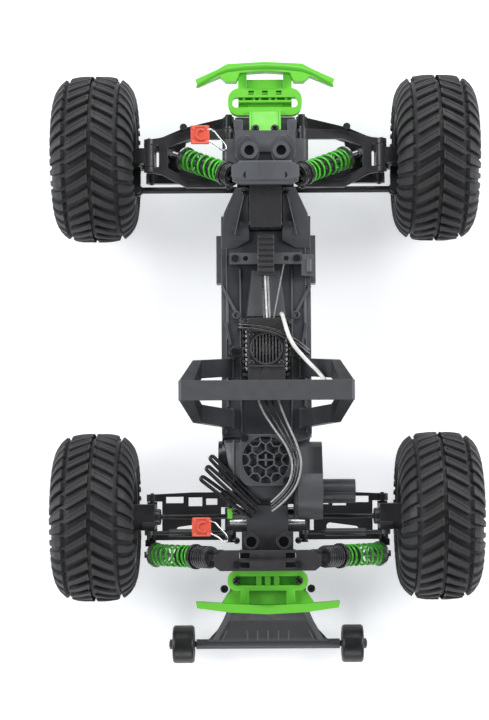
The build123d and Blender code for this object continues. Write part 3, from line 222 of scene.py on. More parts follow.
TYRE = rubber("tyre_rubber", (0.0105, 0.0105, 0.0115))
SLATE = moulded("slate_composite", (0.024, 0.0262, 0.031), 0.42, edge_wear_and_highlight=(0.085, 0.09, 0.1))
SLATE_DARK = moulded("slate_composite_dark", (0.0135, 0.0145, 0.0175), 0.42, edge_wear_and_highlight=(0.06, 0.063, 0.07))
BLACK = moulded("black_composite", (0.0045, 0.0045, 0.0052), 0.38, edge_wear_and_highlight=(0.03, 0.03, 0.033))
GLOSS = moulded(
    "black_gloss", (0.0022, 0.0022, 0.0025), 0.24, grain=0.00001, coat=0.05, edge_wear_and_highlight=(0.04, 0.04, 0.042)
)
GREEN = moulded(
    "green_plastic", (0.05, 0.36, 0.01), 0.36, grain=0.00003, spread=0.14, edge_wear_and_highlight=(0.16, 0.62, 0.05)
)
# darkened green, used only as painted shade in the recess of the bulkhead's tab
GREEN_RECESS_SHADE = moulded("green_painted_recess_shade", (0.008, 0.045, 0.01), 0.4)
GREEN_STEEL = moulded("green_spring_steel", (0.06, 0.5, 0.02), 0.25, grain=0.00001, spread=0.06, coat=0.5)
RED = moulded("red_pull_tab", (0.62, 0.045, 0.022), 0.4, spread=0.1, edge_wear_and_highlight=(0.8, 0.14, 0.09))
STEEL = metal("steel", (0.5, 0.5, 0.51), 0.28, (1, 1, 8))
DARK_STEEL = metal("blackened_steel", (0.06, 0.06, 0.065), 0.35, (1, 1, 6))
BRIGHT = metal("bright_wire", (0.8, 0.8, 0.82), 0.18, (6, 1, 1))
SLEEVE = sleeve("cable_sleeve_black", (0.01, 0.01, 0.011), 0.3, 0.6)
# grey insulation; on the two outer fan leads this grey is a painted highlight on black leads
GREY_SLEEVE_AND_PAINTED_HIGHLIGHT = sleeve("cable_grey_and_painted_highlight", (0.3, 0.3, 0.31), 0.3, 0.5)
WHITE_LEAD = sleeve("cable_sleeve_white", (0.72, 0.72, 0.7), 0.35, 0.2)
BATTERY = wrapped("battery_wrap", (0.012, 0.012, 0.014))

# finishes of the CAD nodes; every other node is black composite
CAD_FINISH = {
    "battery_pack": BATTERY,
    "chassis_tub": SLATE,
    "diff_gear": STEEL,
    "drive_motor": DARK_STEEL,
    "front_bulkhead": SLATE,
    "front_bumper": GREEN,
    "front_shock_tower": SLATE,
    "gear_cover": SLATE_DARK,
    "gearbox_case": SLATE_DARK,
    "motor_fan_grille": SLATE,
    "motor_rotor": STEEL,
    "rear_bumper": GREEN,
    "roll_hoop": SLATE_DARK,
    "speed_controller": GLOSS,
    "steel_hardware": DARK_STEEL,
    "steering_servo": GLOSS,
    "wheelie_bar": SLATE_DARK,
    "wire_bracket": SLATE,
}
for name, obj in nodes.items():
    finish = CAD_FINISH.get(name, BLACK)
    if "shock_shaft" in name:
        finish = STEEL
    if "shock_body" in name:
        finish = GLOSS
    obj.data.materials.clear()
    obj.data.materials.append(finish)

# ---------------------------------------------------------------- mesh helpers


def add_object(name, data, body, material, smooth=True):
    """Link new data as a piece that rides on a body."""
    obj = bpy.data.objects.new(name, data)
    scene.collection.objects.link(obj)
    data.materials.append(material)
    if smooth and hasattr(data, "polygons"):
        for face in data.polygons:
            face.use_smooth = True
    if body:
        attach(obj, body)
    return obj


def mesh_from(name, points, faces):
    """Mesh from millimetre points, with normals facing out."""
    data = bpy.data.meshes.new(name)
    data.from_pydata([[c * MM for c in p] for p in points], [], faces)
    work = bmesh.new()
    work.from_mesh(data)
    bmesh.ops.recalc_face_normals(work, faces=work.faces)
    work.to_mesh(data)
    work.free()
    return data


def crease(obj, angle=35):
    """Keep edges sharper than an angle crisp."""
    work = bmesh.new()
    work.from_mesh(obj.data)
    for edge in work.edges:
        if len(edge.link_faces) == 2:
            edge.smooth = edge.calc_face_angle(0) < radians(angle)
    work.to_mesh(obj.data)
    work.free()


def bevel(obj, width, segments=2, angle=35):
    """Round the edges of a piece."""
    rounding = obj.modifiers.new("rounding", "BEVEL")
    rounding.width = width * MM
    rounding.segments = segments
    rounding.limit_method = "ANGLE"
    rounding.angle_limit = radians(angle)
    rounding.harden_normals = False


class Solid:
    """Collects points and faces of one piece, in millimetres."""

    def __init__(self):
        self.points, self.faces = [], []

    def ring_stack(self, rings, closed=True):
        """Skin a list of equal rings; caps both ends if closed."""
        start, n = len(self.points), len(rings[0])
        for ring in rings:
            self.points.extend(ring)
        for k in range(len(rings) - 1):
            for i in range(n):
                j = (i + 1) % n
                a = start + k * n
                self.faces.append((a + i, a + j, a + n + j, a + n + i))
        if closed:
            self.faces.append(tuple(range(start, start + n)))
            last = start + (len(rings) - 1) * n
            self.faces.append(tuple(range(last, last + n)))

    def prism(self, outline, z0, z1):
        """Upright prism on an outline of (x, y)."""
        self.ring_stack([[(x, y, z0) for x, y in outline], [(x, y, z1) for x, y in outline]])

    def box(self, x0, x1, y0, y1, z0, z1):
        """Block along the axes."""
        self.prism([(x0, y0), (x1, y0), (x1, y1), (x0, y1)], z0, z1)

    def revolved(self, loop, sides):
        """Ring about the X axis from a closed loop of (x, radius)."""
        start, n = len(self.points), len(loop)
        for i in range(sides):
            t = 2 * pi * i / sides
            self.points.extend((x, r * cos(t), r * sin(t)) for x, r in loop)
            a = start + i * n
            b = start + (i + 1) % sides * n
            self.faces.extend((a + k, a + (k + 1) % n, b + (k + 1) % n, b + k) for k in range(n))

    def turned(self, base, axis, profile, sides=24, closed=True):
        """Solid of revolution: profile is (along, radius) from base."""
        axis = Vector(axis).normalized()
        side = axis.orthogonal().normalized()
        other = axis.cross(side)
        rings = []
        for along, r in profile:
            ring = []
            for i in range(sides):
                t = 2 * pi * i / sides
                ring.append(Vector(base) + axis * along + (side * cos(t) + other * sin(t)) * r)
            rings.append([tuple(p) for p in ring])
        self.ring_stack(rings, closed)

    def piece(self, name, body, material, rounding=0.0, angle=35):
        """Link the solid as a piece, with its edges rounded by so many millimetres."""
        obj = add_object(name, mesh_from(name, self.points, self.faces), body, material)
        crease(obj, angle)
        if rounding:
            bevel(obj, rounding)
        return obj


def screw(solid, x, y, z, r, h):
    """Upright button-head screw with a hex socket."""
    side = Vector((0, 0, 1)).orthogonal().normalized()
    other = Vector((0, 0, 1)).cross(side)
    dome = [(0, r), (h * 0.45, r * 0.97), (h * 0.8, r * 0.8), (h, r * 0.55)]
    socket = [(h, r * 0.5), (h * 0.25, r * 0.48)]
    rings = []
    for along, radius in dome + socket:
        hexed = (along, radius) in socket
        ring = []
        for i in range(24):
            t = 2 * pi * i / 24
            reach = radius
            if hexed:
                reach *= cos(pi / 6) / cos((t % (pi / 3)) - pi / 6)
            ring.append(tuple(Vector((x, y, z + along)) + (side * cos(t) + other * sin(t)) * reach))
        rings.append(ring)
    solid.ring_stack(rings)


# ---------------------------------------------------------------- wheels

AXLE_Z = 66
WHEEL_X = 135
FRONT_Y = 163
REAR_Y = -122

# half of the carcass section: lateral offset and radius, crown to bead
CARCASS = [
    (0, 62.1), (5.8, 62.1), (10.7, 61.9), (15.5, 61.2), (19.9, 59.8), (23.8, 57.2),
    (26.9, 53.6), (29, 49.4), (30.1, 45), (30.6, 41.4), (30.2, 38.6), (28.9, 36.4),
]
SIDE_WALL_RING = [(29.6, 38.9), (31.3, 39.2), (31.3, 40.3), (29.8, 40.9)]
BEAD_R = 35.9
LUGS = 36
LUG_TURN = 2 * pi / LUGS
TREAD_R = 64
# how deep a lug's foot is sunk into the carcass, and its height at the edge of its top
LUG_ROOT = -0.8
LUG_SHOULDER = 0.86

# rim: barrel section, the disc's two faces, its rings from hub to barrel, and how much it is dished
BARREL = [
    (-30, 34.2), (-30, 37.3), (-28.3, 37.3), (-27.6, BEAD_R), (27.6, BEAD_R),
    (28.3, 37.3), (30, 37.3), (30, 34.6), (27, 33.6), (-27, 33.6),
]
DISC_FACES = (-18.2, -21.8)
DISC_RINGS = [7.5, 11.5, 13.2, 15.2, 27.2, 29.2, 33.8]
DISC_DISH = 0.06
WHEEL_SIDES = 96


def section(u):
    """Point and outward normal of the carcass section at a length u from the crown."""
    side = 1 if u >= 0 else -1
    left = abs(u)
    for start, end in zip(CARCASS, CARCASS[1:]):
        step = Vector(end) - Vector(start)
        if left <= step.length:
            break
        left -= step.length
    point = Vector(start) + step * (left / step.length)
    return side * point.x, point.y, side * abs(step.y) / step.length, abs(step.x) / step.length


def tyre_point(u, turn, height):
    """A tread point: u across the section, turn round the axle, height above the carcass."""
    x, r, nx, nr = section(u)
    x += nx * height
    r += nr * height
    return (x, -r * cos(turn), r * sin(turn))


def tread_block(solid, first, second, heights, taper=0.5, steps=7):
    """A lug between two edge lines, each (u0, turn0, u1, turn1); its height changes along them."""
    inset = taper / AXLE_Z
    rings = []
    for k in range(steps + 1):
        f = k / steps
        (ua, ta), (ub, tb) = (
            (u0 + (u1 - u0) * f, turn0 + (turn1 - turn0) * f) for u0, turn0, u1, turn1 in (first, second)
        )
        height = heights[0] + (heights[1] - heights[0]) * f
        rings.append(
            [
                tyre_point(ua, ta, LUG_ROOT),
                tyre_point(ua, ta + inset, height * LUG_SHOULDER),
                tyre_point(ua, ta + inset * 2, height),
                tyre_point(ub, tb - inset * 2, height),
                tyre_point(ub, tb - inset, height * LUG_SHOULDER),
                tyre_point(ub, tb, LUG_ROOT),
            ]
        )
    solid.ring_stack(rings)


def tyre_mesh():
    """Tyre about the X axis, with its tread pointing forward over the top."""
    solid = Solid()
    loop = [*CARCASS, (25.6, BEAD_R), (-25.6, BEAD_R)]
    loop += [(-x, r) for x, r in reversed(CARCASS[1:])]
    solid.revolved(loop, WHEEL_SIDES)
    drop = 9.2 / TREAD_R
    width = 6.7 / TREAD_R
    for lug in range(LUGS):
        for side in (1, -1):
            # the two rows are half a pitch apart
            lead = lug * LUG_TURN + (0.5 * LUG_TURN if side < 0 else 0)
            # chevron arm: its inner end leads, its outer end trails
            tread_block(
                solid,
                (side * 1.5, lead, side * 17.2, lead - drop),
                (side * 1.5, lead + width, side * 17.2, lead - drop + width * 0.92),
                (3.35, 3.35),
            )
            # raised lip along the leading edge and down the inner end
            tread_block(
                solid,
                (side * 1.5, lead + width * 0.7, side * 16.4, lead - drop + width * 0.62),
                (side * 1.5, lead + width, side * 16.8, lead - drop + width * 0.92),
                (3.9, 3.9),
                taper=0.25,
            )
            tread_block(
                solid,
                (side * 1.5, lead, side * 3.1, lead - 0.014),
                (side * 1.5, lead + width, side * 3.1, lead + width - 0.014),
                (3.9, 3.9),
                taper=0.25,
                steps=1,
            )
            # shoulder lug: wraps from the tread edge down the side wall, with its own lip
            tread_block(
                solid,
                (side * 20.2, lead - 0.075, side * 43, lead - 0.205),
                (side * 20.2, lead + 0.048, side * 43, lead - 0.125),
                (3.8, 1.9),
                taper=0.45,
                steps=9,
            )
            tread_block(
                solid,
                (side * 20.2, lead + 0.018, side * 40, lead - 0.132),
                (side * 20.2, lead + 0.048, side * 40, lead - 0.112),
                (4.25, 2.25),
                taper=0.25,
                steps=8,
            )
    # moulded ring on each side wall
    for side in (1, -1):
        rings = []
        for i in range(WHEEL_SIDES):
            t = 2 * pi * i / WHEEL_SIDES
            rings.append([(side * x, r * cos(t), r * sin(t)) for x, r in SIDE_WALL_RING])
        rings.append(rings[0])
        solid.ring_stack(rings, closed=False)
    return solid


def slotted(ring, i):
    """Whether a cell of the wheel disc is open: six slots with rounded corners."""
    if ring not in (2, 3, 4):
        return False
    corner = 0 if ring == 3 else 1
    return 3 + corner <= i % 16 < 13 - corner


def disc_with_slots(solid):
    """The wheel's dished disc, on a grid of rings and sides."""
    front = len(solid.points)
    for face_x in DISC_FACES:
        for r in DISC_RINGS:
            for i in range(WHEEL_SIDES):
                t = 2 * pi * i / WHEEL_SIDES
                x = face_x + (DISC_RINGS[-1] - r) * DISC_DISH
                solid.points.append((x, r * cos(t), r * sin(t)))
    depth = len(DISC_RINGS) * WHEEL_SIDES
    last = len(DISC_RINGS) - 2
    for ring in range(last + 1):
        for i in range(WHEEL_SIDES):
            if slotted(ring, i):
                continue
            j = (i + 1) % WHEEL_SIDES
            inner = front + ring * WHEEL_SIDES
            outer = inner + WHEEL_SIDES
            for a, b in ((inner, outer), (inner + depth, outer + depth)):
                solid.faces.append((a + i, a + j, b + j, b + i))
            # walls of the slots next to this cell
            for beside, k in ((j, j), (i - 1, i)):
                if slotted(ring, beside):
                    solid.faces.append((inner + k, outer + k, outer + k + depth, inner + k + depth))
            if slotted(ring + 1, i):
                solid.faces.append((outer + i, outer + j, outer + j + depth, outer + i + depth))
            if slotted(ring - 1, i):
                solid.faces.append((inner + i, inner + j, inner + j + depth, inner + i + depth))
    for i in range(WHEEL_SIDES):
        j = (i + 1) % WHEEL_SIDES
        for edge in (front, front + (last + 1) * WHEEL_SIDES):
            solid.faces.append((edge + i, edge + j, edge + j + depth, edge + i + depth))


def rim_solid(rear):
    """Deep-dish wheel about the X axis, outside face towards +X."""
    solid = Solid()
    solid.revolved(BARREL, WHEEL_SIDES)
    disc_with_slots(solid)
    solid.turned((-23, 0, 0), (1, 0, 0), [(0, 6.6), (0.6, 7.9), (7.0, 7.9), (12.4, 7.2)], 48)
    for k in range(6):
        t = pi / 6 + k * pi / 3
        bolt = (-19, 24 * sin(t), 24 * cos(t))
        solid.turned(bolt, (1, 0, 0), [(0, 1.8), (1.8, 1.8), (2.4, 1.2)], 12)
    if rear:
        # stub axle and the driveshaft's cup
        solid.turned((-38, 0, 0), (1, 0, 0), [(0, 2.5), (18, 2.5)], 20)
        solid.turned((-51, 0, 0), (1, 0, 0), [(0, 5.4), (0.8, 6.4), (12, 6.4), (13, 5.2)], 32)
    return solid


def wheel_nut():
    """Serrated hex nut and the axle's threaded end."""
    solid = Solid()
    hexed = [(4.6 * cos(k * pi / 3), 4.6 * sin(k * pi / 3)) for k in range(6)]
    solid.ring_stack([[(x, a, b) for a, b in hexed] for x in (-10.7, -6.4)])
    solid.turned((-10.7, 0, 0), (1, 0, 0), [(0, 5.8), (0.9, 5.8), (1.2, 5.2)], 32)
    solid.turned((-8, 0, 0), (1, 0, 0), [(0, 2.2), (2.6, 2.2), (3.1, 1.7)], 20)
    return solid


tyre_solid = tyre_mesh()
tyre_data = mesh_from("tyre", tyre_solid.points, tyre_solid.faces)
for end, axle_y in (("front", FRONT_Y), ("rear", REAR_Y)):
    for side, sign in (("left", -1), ("right", 1)):
        body = f"{end}_wheel_{side}"
        place = Matrix.Translation((sign * WHEEL_X * MM, axle_y * MM, AXLE_Z * MM))
        tyre = add_object(f"{end}_tyre_{side}", tyre_data.copy(), None, TYRE, False)
        tyre.matrix_world = place
        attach(tyre, body)
        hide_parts(body)
        turn = Matrix.Identity(4) if sign > 0 else Matrix.Rotation(pi, 4, "Z")
        for part, solid, finish in (
            ("rim", rim_solid(end == "rear"), BLACK),
            ("wheel_nut", wheel_nut(), STEEL),
        ):
            made = solid.piece(f"{end}_{part}_{side}", None, finish, angle=30)
            made.matrix_world = place @ turn
            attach(made, body)

# ---------------------------------------------------------------- coil springs

SHOCKS = {
    "front": (Vector((22, 141, 112)), Vector((76, 169, 58)), 14.2, 60.6, 8),
    "rear": (Vector((37, -152, 110)), Vector((93, -152, 57)), 27.2, 69.6, 8),
}
COIL_R = 7.85
WIRE_R = 0.95


def spring(name, top, foot, s0, s1, turns):
    """Coil spring as a swept tube, its end turns closed and ground."""
    axis = (foot - top).normalized()
    side = axis.orthogonal().normalized()
    other = axis.cross(side)
    steps = turns * 28
    rings = []
    length = s1 - s0 - 2 * WIRE_R
    for i in range(steps + 1):
        f = i / steps
        eased = f + 0.055 * sin(2 * pi * f) * -1
        angle = 2 * pi * turns * f
        radial = side * cos(angle) + other * sin(angle)
        tangent = (side * -sin(angle) + other * cos(angle)).normalized()
        centre = top + axis * (s0 + WIRE_R + length * eased) + radial * COIL_R
        across = tangent.cross(radial)
        rings.append(
            [
                tuple(centre + (radial * cos(a) + across * sin(a)) * WIRE_R)
                for a in (2 * pi * k / 8 for k in range(8))
            ]
        )
    solid = Solid()
    solid.ring_stack(rings)
    return solid.piece(name, None, GREEN_STEEL, angle=60)


for end, (top, foot, s0, s1, turns) in SHOCKS.items():
    for side, sign in (("left", -1), ("right", 1)):
        t = Vector((sign * top.x, top.y, top.z))
        f = Vector((sign * foot.x, foot.y, foot.z))
        coil = spring(f"{end}_spring_{side}", t, f, s0, s1, turns)
        if (end, side) == ("rear", "left"):
            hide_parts("coil_springs")
        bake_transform(coil)

# ---------------------------------------------------------------- wiring

ESC_REAR = -28.1
ESC_FRONT = 33.1


def wire(name, route, diameter, material, round_steps, along_steps):
    """Round wire along a smooth route, on the chassis."""
    data = bpy.data.curves.new(name, "CURVE")
    data.dimensions = "3D"
    data.bevel_depth = diameter / 2 * MM
    data.bevel_resolution = round_steps
    data.use_fill_caps = True
    line = data.splines.new("NURBS")
    line.points.add(len(route) - 1)
    for point, place in zip(line.points, route):
        point.co = (*[c * MM for c in place], 1)
    line.order_u = 3
    line.use_endpoint_u = True
    line.resolution_u = along_steps
    return add_object(name, data, "chassis", material)


def cord(name, route, diameter, material):
    """A wire from one fitting into another, on the chassis."""
    obj = wire(name, route, diameter, material, 4, 16)


# each point of the inner fan lead, with the way its neighbours lie outside it
FAN_LEAD_SPACING = 2.3
FAN_ROUTE = [
    ((-7, ESC_REAR, 86), (2.2, 0)),
    ((-5, -37, 93), (2.3, 0)),
    ((5, -53, 105), (1.7, 0.2)),
    ((16, -68, 110), (1.1, 0.2)),
    ((20.5, -84, 110.5), (1.0, 0)),
    ((15, -100, 110), (0.6, -0.8)),
    ((3, -110, 103.5), (0.1, -1.0)),
]
# the two outer fan leads are grey: painted highlights on black leads
for lead in range(4):
    step = FAN_LEAD_SPACING * lead
    cord(
        f"fan_lead_{lead + 1}",
        [(x + step * ox, y + step * oy, z) for (x, y, z), (ox, oy) in FAN_ROUTE],
        1.7,
        SLEEVE if lead in (1, 2) else GREY_SLEEVE_AND_PAINTED_HIGHLIGHT,
    )
# hairpins of sleeved motor lead: where each is held and where it turns back
HAIRPIN_HALF_GAP = 1.75
HAIRPINS = [
    ((-11, -121, 99), (-51, -91, 96)),
    ((-9, -117.5, 103), (-46.5, -83, 100)),
    ((-7, -112.5, 99), (-43.5, -75, 97.5)),
]
for k, ends in enumerate(HAIRPINS, 1):
    held, tip = (Vector(end) for end in ends)
    reach = (tip - held).normalized()
    aside = Vector((-reach.y, reach.x, 0)).normalized() * HAIRPIN_HALF_GAP
    middle = held.lerp(tip, 0.5)
    neck = tip - reach * 2.2
    route = [held + aside, middle + aside * 1.1, neck + aside, tip + aside * 0.75]
    route += [tip - aside * 0.75, neck - aside, middle - aside * 1.1, held - aside]
    cord(f"motor_lead_{k}", [tuple(point) for point in route], 2.9, SLEEVE)
for k, finish in enumerate((SLEEVE, WHITE_LEAD, GREY_SLEEVE_AND_PAINTED_HIGHLIGHT)):
    x = -3 + 2.2 * k
    cord(
        f"receiver_lead_{k + 1}",
        [(x, 66.9, 87.6), (x + 0.6, 50, 83.5), (x + 1.4, ESC_FRONT, 84.5)],
        1.6,
        finish,
    )
cord("switch_lead", [(14, 76.4, 82), (10, 56, 79.5), (5.5, ESC_FRONT, 80.5)], 1.2, GREY_SLEEVE_AND_PAINTED_HIGHLIGHT)
BATTERY_ROUTE = [
    (-22, 28, 74.9), (-22.5, 29, 93), (-14, 27, 103), (4, 24.5, 101.5), (19, 18, 99), (29, 11.5, 89),
    (33.5, 9, 73.2),
]
for strand in range(2):
    route = [(x, y - 2.5 * strand, z) for x, y, z in BATTERY_ROUTE]
    cord(f"battery_lead_{strand + 1}", route, 2.3, SLEEVE)
cord(
    "aerial_lead",
    [(12, 37, 86), (12.5, 36, 99), (18, 14, 106), (31, -1, 104), (42, -12, 109), (49, -23, 117)],
    3.2,
    WHITE_LEAD,
)

# receiver plug block, ribbed, on the cross strap
plug = Solid()
plug.box(-6.5, 6.5, 67, 100, 84.1, 90.4)
for k in range(7):
    y = 69.5 + 4.4 * k
    plug.box(-6.2, 6.2, y, y + 2.4, 90.2, 92)
block = plug.piece("receiver_plug", "chassis", GLOSS, 0.35)
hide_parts("wiring_loom")

# ---------------------------------------------------------------- fittings on the chassis


def sloped(solid, outline, bottom, tops):
    """Prism whose top height is given at each corner."""
    low = [(x, y, bottom) for x, y in outline]
    high = [(x, y, z) for (x, y), z in zip(outline, tops)]
    solid.ring_stack([low, high])


# shoulders beside the steering servo, running down to the deck
NOSE = [(13, 137), (23.6, 137), (33, 117), (35.2, 105), (35.2, 90), (24, 90), (13, 96)]
NOSE_TOP = [86, 86, 84.5, 80, 73.4, 73.4, 76]
shoulders = Solid()
for side in (1, -1):
    outline = [(side * x, y) for x, y in NOSE]
    sloped(shoulders, outline, 70, NOSE_TOP)
    ridge = [(side * x, y) for x, y in ((15.4, 134), (16.8, 134), (25, 100), (23.6, 100))]
    sloped(shoulders, ridge, 74, [88, 88, 81, 81])
cheeks = shoulders.piece("nose_shoulders", "chassis", SLATE, 0.9)

# motor shroud round the fan grille, carrying the deck back over the gearbox: y, half width,
# height of its side edge and of its top
SHROUD_RIGHT = 22.8
SHROUD = [
    (-56.5, 35.4, 72.6, 73.4), (-60, 35.2, 73.5, 79), (-64, 34.2, 80, 95.2), (-70, 33.2, 84, 97.4),
    (-84, 31.0, 86, 97.6), (-97, 28.4, 86, 97.2), (-106, 26.4, 84, 95.0), (-112, 24.5, 82, 91.0),
]
shroud = Solid()
rings = []
for y, half, edge_z, top_z in SHROUD:
    right = min(half, SHROUD_RIGHT) if y < -62 else half
    flat = half - 5.5
    rings.append(
        [
            (-half, y, edge_z - 6), (-half, y, edge_z), (-half + 1.2, y, top_z - 2.2), (-flat, y, top_z),
            (right - 3, y, top_z), (right, y, top_z - 2.2), (right, y, edge_z - 6),
        ]
    )
shroud.ring_stack(rings)
for x0, x1 in ((-26.4, -25.2), (22.0, 22.7)):
    shroud.box(x0, x1, -110, -62, 90, 98.6)
cover = shroud.piece("motor_shroud", "chassis", SLATE, 0.8)

# grille: square frame with cut corners, round opening, and a honeycomb web round a cross
GRILLE_X, GRILLE_Y = -1.0, -77.5
GRILLE_HALF, GRILLE_CORNER_R, GRILLE_HOLE_R = 20, 24.6, 18.2
GRILLE_Z = (97.5, 103)


def polar(r, turn):
    """Plan point about the grille's centre."""
    return (GRILLE_X + r * cos(turn), GRILLE_Y + r * sin(turn))


grille = Solid()
frame_ring, hole_ring = [], []
for i in range(64):
    t = 2 * pi * i / 64
    reach = GRILLE_HALF / max(abs(cos(t)), abs(sin(t)))
    frame_ring.append(polar(min(reach, GRILLE_CORNER_R), t))
    hole_ring.append(polar(GRILLE_HOLE_R, t))
low, high = GRILLE_Z
for ring, z in ((frame_ring, low), (frame_ring, high), (hole_ring, high), (hole_ring, low)):
    grille.points.extend((x, y, z) for x, y in ring)
for layer in range(4):
    a, b = layer * 64, (layer + 1) % 4 * 64
    for i in range(64):
        j = (i + 1) % 64
        grille.faces.append((a + i, a + j, b + j, b + i))


def bar(solid, a, b, width, z0, z1):
    """Straight flat bar between two plan points."""
    a, b = Vector(a), Vector(b)
    across = (b - a).orthogonal().normalized() * width / 2
    corners = [a + across, a - across, b - across, b + across]
    solid.prism([tuple(c) for c in corners], z0, z1)


# width, foot and top of the web's bars
WEB = (1.05, 99.6, 102.2)
for i in range(12):
    t = (i + 0.5) * pi / 6
    root, dip, following = polar(14.6, t), polar(12.0, t + pi / 12), polar(14.6, t + pi / 6)
    bar(grille, root, dip, *WEB)
    bar(grille, dip, following, *WEB)
    bar(grille, root, polar(18.6, t), *WEB)
for i in range(6):
    t = (i + 0.5) * pi / 3
    bar(grille, polar(7.4, t), polar(7.4, t + pi / 3), *WEB)
    bar(grille, polar(7.4, t), polar(12.0, t), *WEB)
bar(grille, polar(4.6, pi / 2), polar(4.6, -pi / 2), 1.5, 99.6, 102.6)
bar(grille, polar(6.2, 0.001), polar(6.2, pi), 1.3, 99.6, 102.6)
web = grille.piece("fan_grille", "chassis", SLATE, 0.25, angle=30)
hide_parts("motor_fan_grille")

# round guard and bars over the speed controller's fan, its cover's edges, and its feet
ESC_FAN_Y = 9
esc = Solid()
for i in range(36):
    t, following = 2 * pi * i / 36, 2 * pi * (i + 1) / 36
    corners = ((11.4, t), (12.9, t), (12.9, following), (11.4, following))
    esc.prism([(r * cos(turn), ESC_FAN_Y + r * sin(turn)) for r, turn in corners], 95.5, 98.6)
for k in range(-4, 5):
    x = k * 2.5
    reach = (11.6**2 - x**2) ** 0.5
    esc.box(x - 0.55, x + 0.55, ESC_FAN_Y - reach, ESC_FAN_Y + reach, 95.8, 98.2)
esc.box(-13.6, 13.6, 22, 23.4, 95.5, 98.4)
esc.box(-13.6, 13.6, -5.4, -4, 95.5, 98.4)
for side in (1, -1):
    esc.turned((side * 25.3, 7, 72.6), (0, 0, 1), [(0, 4.6), (2.6, 4.6), (3.0, 4.2)], 28)
    esc.box(*sorted((side * 18, side * 25.3)), 3.2, 10.8, 72.7, 75.4)
    for y in (-2, 20):
        esc.turned((side * 11.6, y, 95.5), (0, 0, 1), [(0, 2.2), (2.8, 2.2), (3.2, 1.6)], 20)
guard = esc.piece("controller_fan_guard", "chassis", GLOSS, 0.2)
edge_trim = Solid()
for side in (1, -1):
    for k in range(9):
        y = -8 + 3.6 * k
        x0, x1 = sorted((side * 15.1, side * 16.2))
        edge_trim.box(x0, x1, y, y + 2.5, 96.9, 97.7)
trim = edge_trim.piece("controller_fin_trim", "chassis", STEEL, 0.15)

# deck bosses, ribs and screws
deck = Solid()
for side in (1, -1):
    boss = [(0, 3.6), (3.2, 3.4), (3.4, 3.0), (3.4, 1.7), (1.0, 1.6)]
    deck.turned((side * 23.5, 37, 72.4), (0, 0, 1), boss, 28)
    for x, y in ((30.5, 52), (30.5, -2)):
        bar(deck, (side * x, y), (side * (x - 0.2), y - 34), 1.5, 72.4, 74.2)
    bar(deck, (side * 31.2, 98), (side * 31.6, -56), 1.1, 72.4, 73.6)
    bar(deck, (side * 20.5, 74), (side * 19.8, -56), 1.3, 72.4, 74.4)
ribs = deck.piece("deck_ribs", "chassis", SLATE, 0.35)
screws = Solid()
# screws in pairs: x, y, foot, radius and height of the head
for x, y, z, r, h in (
    (16.5, 132.5, 89.5, 2.6, 1.6), (25.3, 7, 75.6, 2.6, 1.6), (24.0, -140, 90.5, 2.6, 1.6),
    (24.6, -172, 77.2, 2.9, 2.0), (34.2, -178.5, 71, 3.2, 3.4), (7.6, 184.6, 83.4, 2.9, 1.8),
):
    for side in (1, -1):
        screw(screws, side * x, y, z, r, h)
# the fan grille's two
for x, y in ((-17.6, -61.0), (15.6, -94.0)):
    screw(screws, x, y, 103, 2.5, 1.5)
heads = screws.piece("screw_heads", "chassis", DARK_STEEL, angle=30)

# bulkhead ears round the body-post sockets
ears = Solid()
for side in (1, -1):
    outline = []
    for i in range(40):
        t = 2 * pi * i / 40
        pull = 1 + 0.55 * max(0, sin(t)) ** 3
        outline.append((side * 14.2 + 9.6 * cos(t), 163.5 + 9.6 * sin(t) * pull))
    ears.prism(outline, 84, 90.2)
    ears.box(*sorted((side * 17.5, side * 25.0)), 181.5, 192, 70, 82.5)
    ears.turned((side * 21.4, 192, 79), (0, -1, 0), [(0, 3.6), (14, 3.6), (15, 3.0)], 24)
lugs = ears.piece("bulkhead_ears", "chassis", SLATE, 0.8)

# faceted cap of the front tower: x, top height, and how far its ends are cut in
TOWER_CAP = [(5.5, 129.2, 0), (18.2, 127.6, 0), (26, 126.4, 3)]
TOWER_CAP = [(-x, z, inset) for x, z, inset in reversed(TOWER_CAP)] + TOWER_CAP
TOWER_CAP_Y = (136, 150.6)
TOWER_CAP_FOOT = 125.4
rings = []
for x, z, inset in TOWER_CAP:
    rear, front = TOWER_CAP_Y[0] + inset, TOWER_CAP_Y[1] - inset
    rings.append([(x, rear, TOWER_CAP_FOOT), (x, front, TOWER_CAP_FOOT), (x, front, z), (x, rear, z)])
cap = Solid()
cap.ring_stack(rings)
tower_cap = cap.piece("front_tower_cap", "chassis", SLATE, 0.5, angle=5)
# dark green slab on the bulkhead's tab: painted shade of its recessed middle
recess = Solid()
recess.box(-6.3, 6.3, 154.2, 165, 84.6, 86.2)
painted_shade_slab = recess.piece("bulkhead_recess_painted_shade", "chassis", GREEN_RECESS_SHADE, 0.3)

# round bar of the front bumper, its tab, and the webs and skid between its posts
BAR_R = 3.4
BAR_Z = 71.6
BAR_END_LEAN = 0.35
BAR = [(-54, 222.5), (-46, 226.6), (-37.5, 231.2), (-29, 234.2), (-15, 235.8), (0, 236.4)]
BAR += [(-x, y) for x, y in reversed(BAR[:-1])]
rings = []
for x, y in BAR:
    lean = BAR_END_LEAN * x / BAR[0][0]
    ring = []
    for k in range(16):
        out, up = BAR_R * cos(k * pi / 8), BAR_R * sin(k * pi / 8)
        ring.append((x + lean * out, y + out, BAR_Z + up))
    rings.append(ring)
bumper = Solid()
bumper.ring_stack(rings)
sloped(
    bumper,
    [(-12.4, 200), (12.4, 200), (12.4, 182), (9.6, 179.2), (-9.6, 179.2), (-12.4, 182)],
    72.9,
    [75.2, 75.2, 83.6, 85.2, 85.2, 83.6],
)
sloped(bumper, [(-14.4, 199), (14.4, 199), (14.4, 227), (-14.4, 227)], 60, [63, 63, 68.5, 68.5])
bumper.box(-21.5, 21.5, 198.5, 218, 60.5, 63.5)
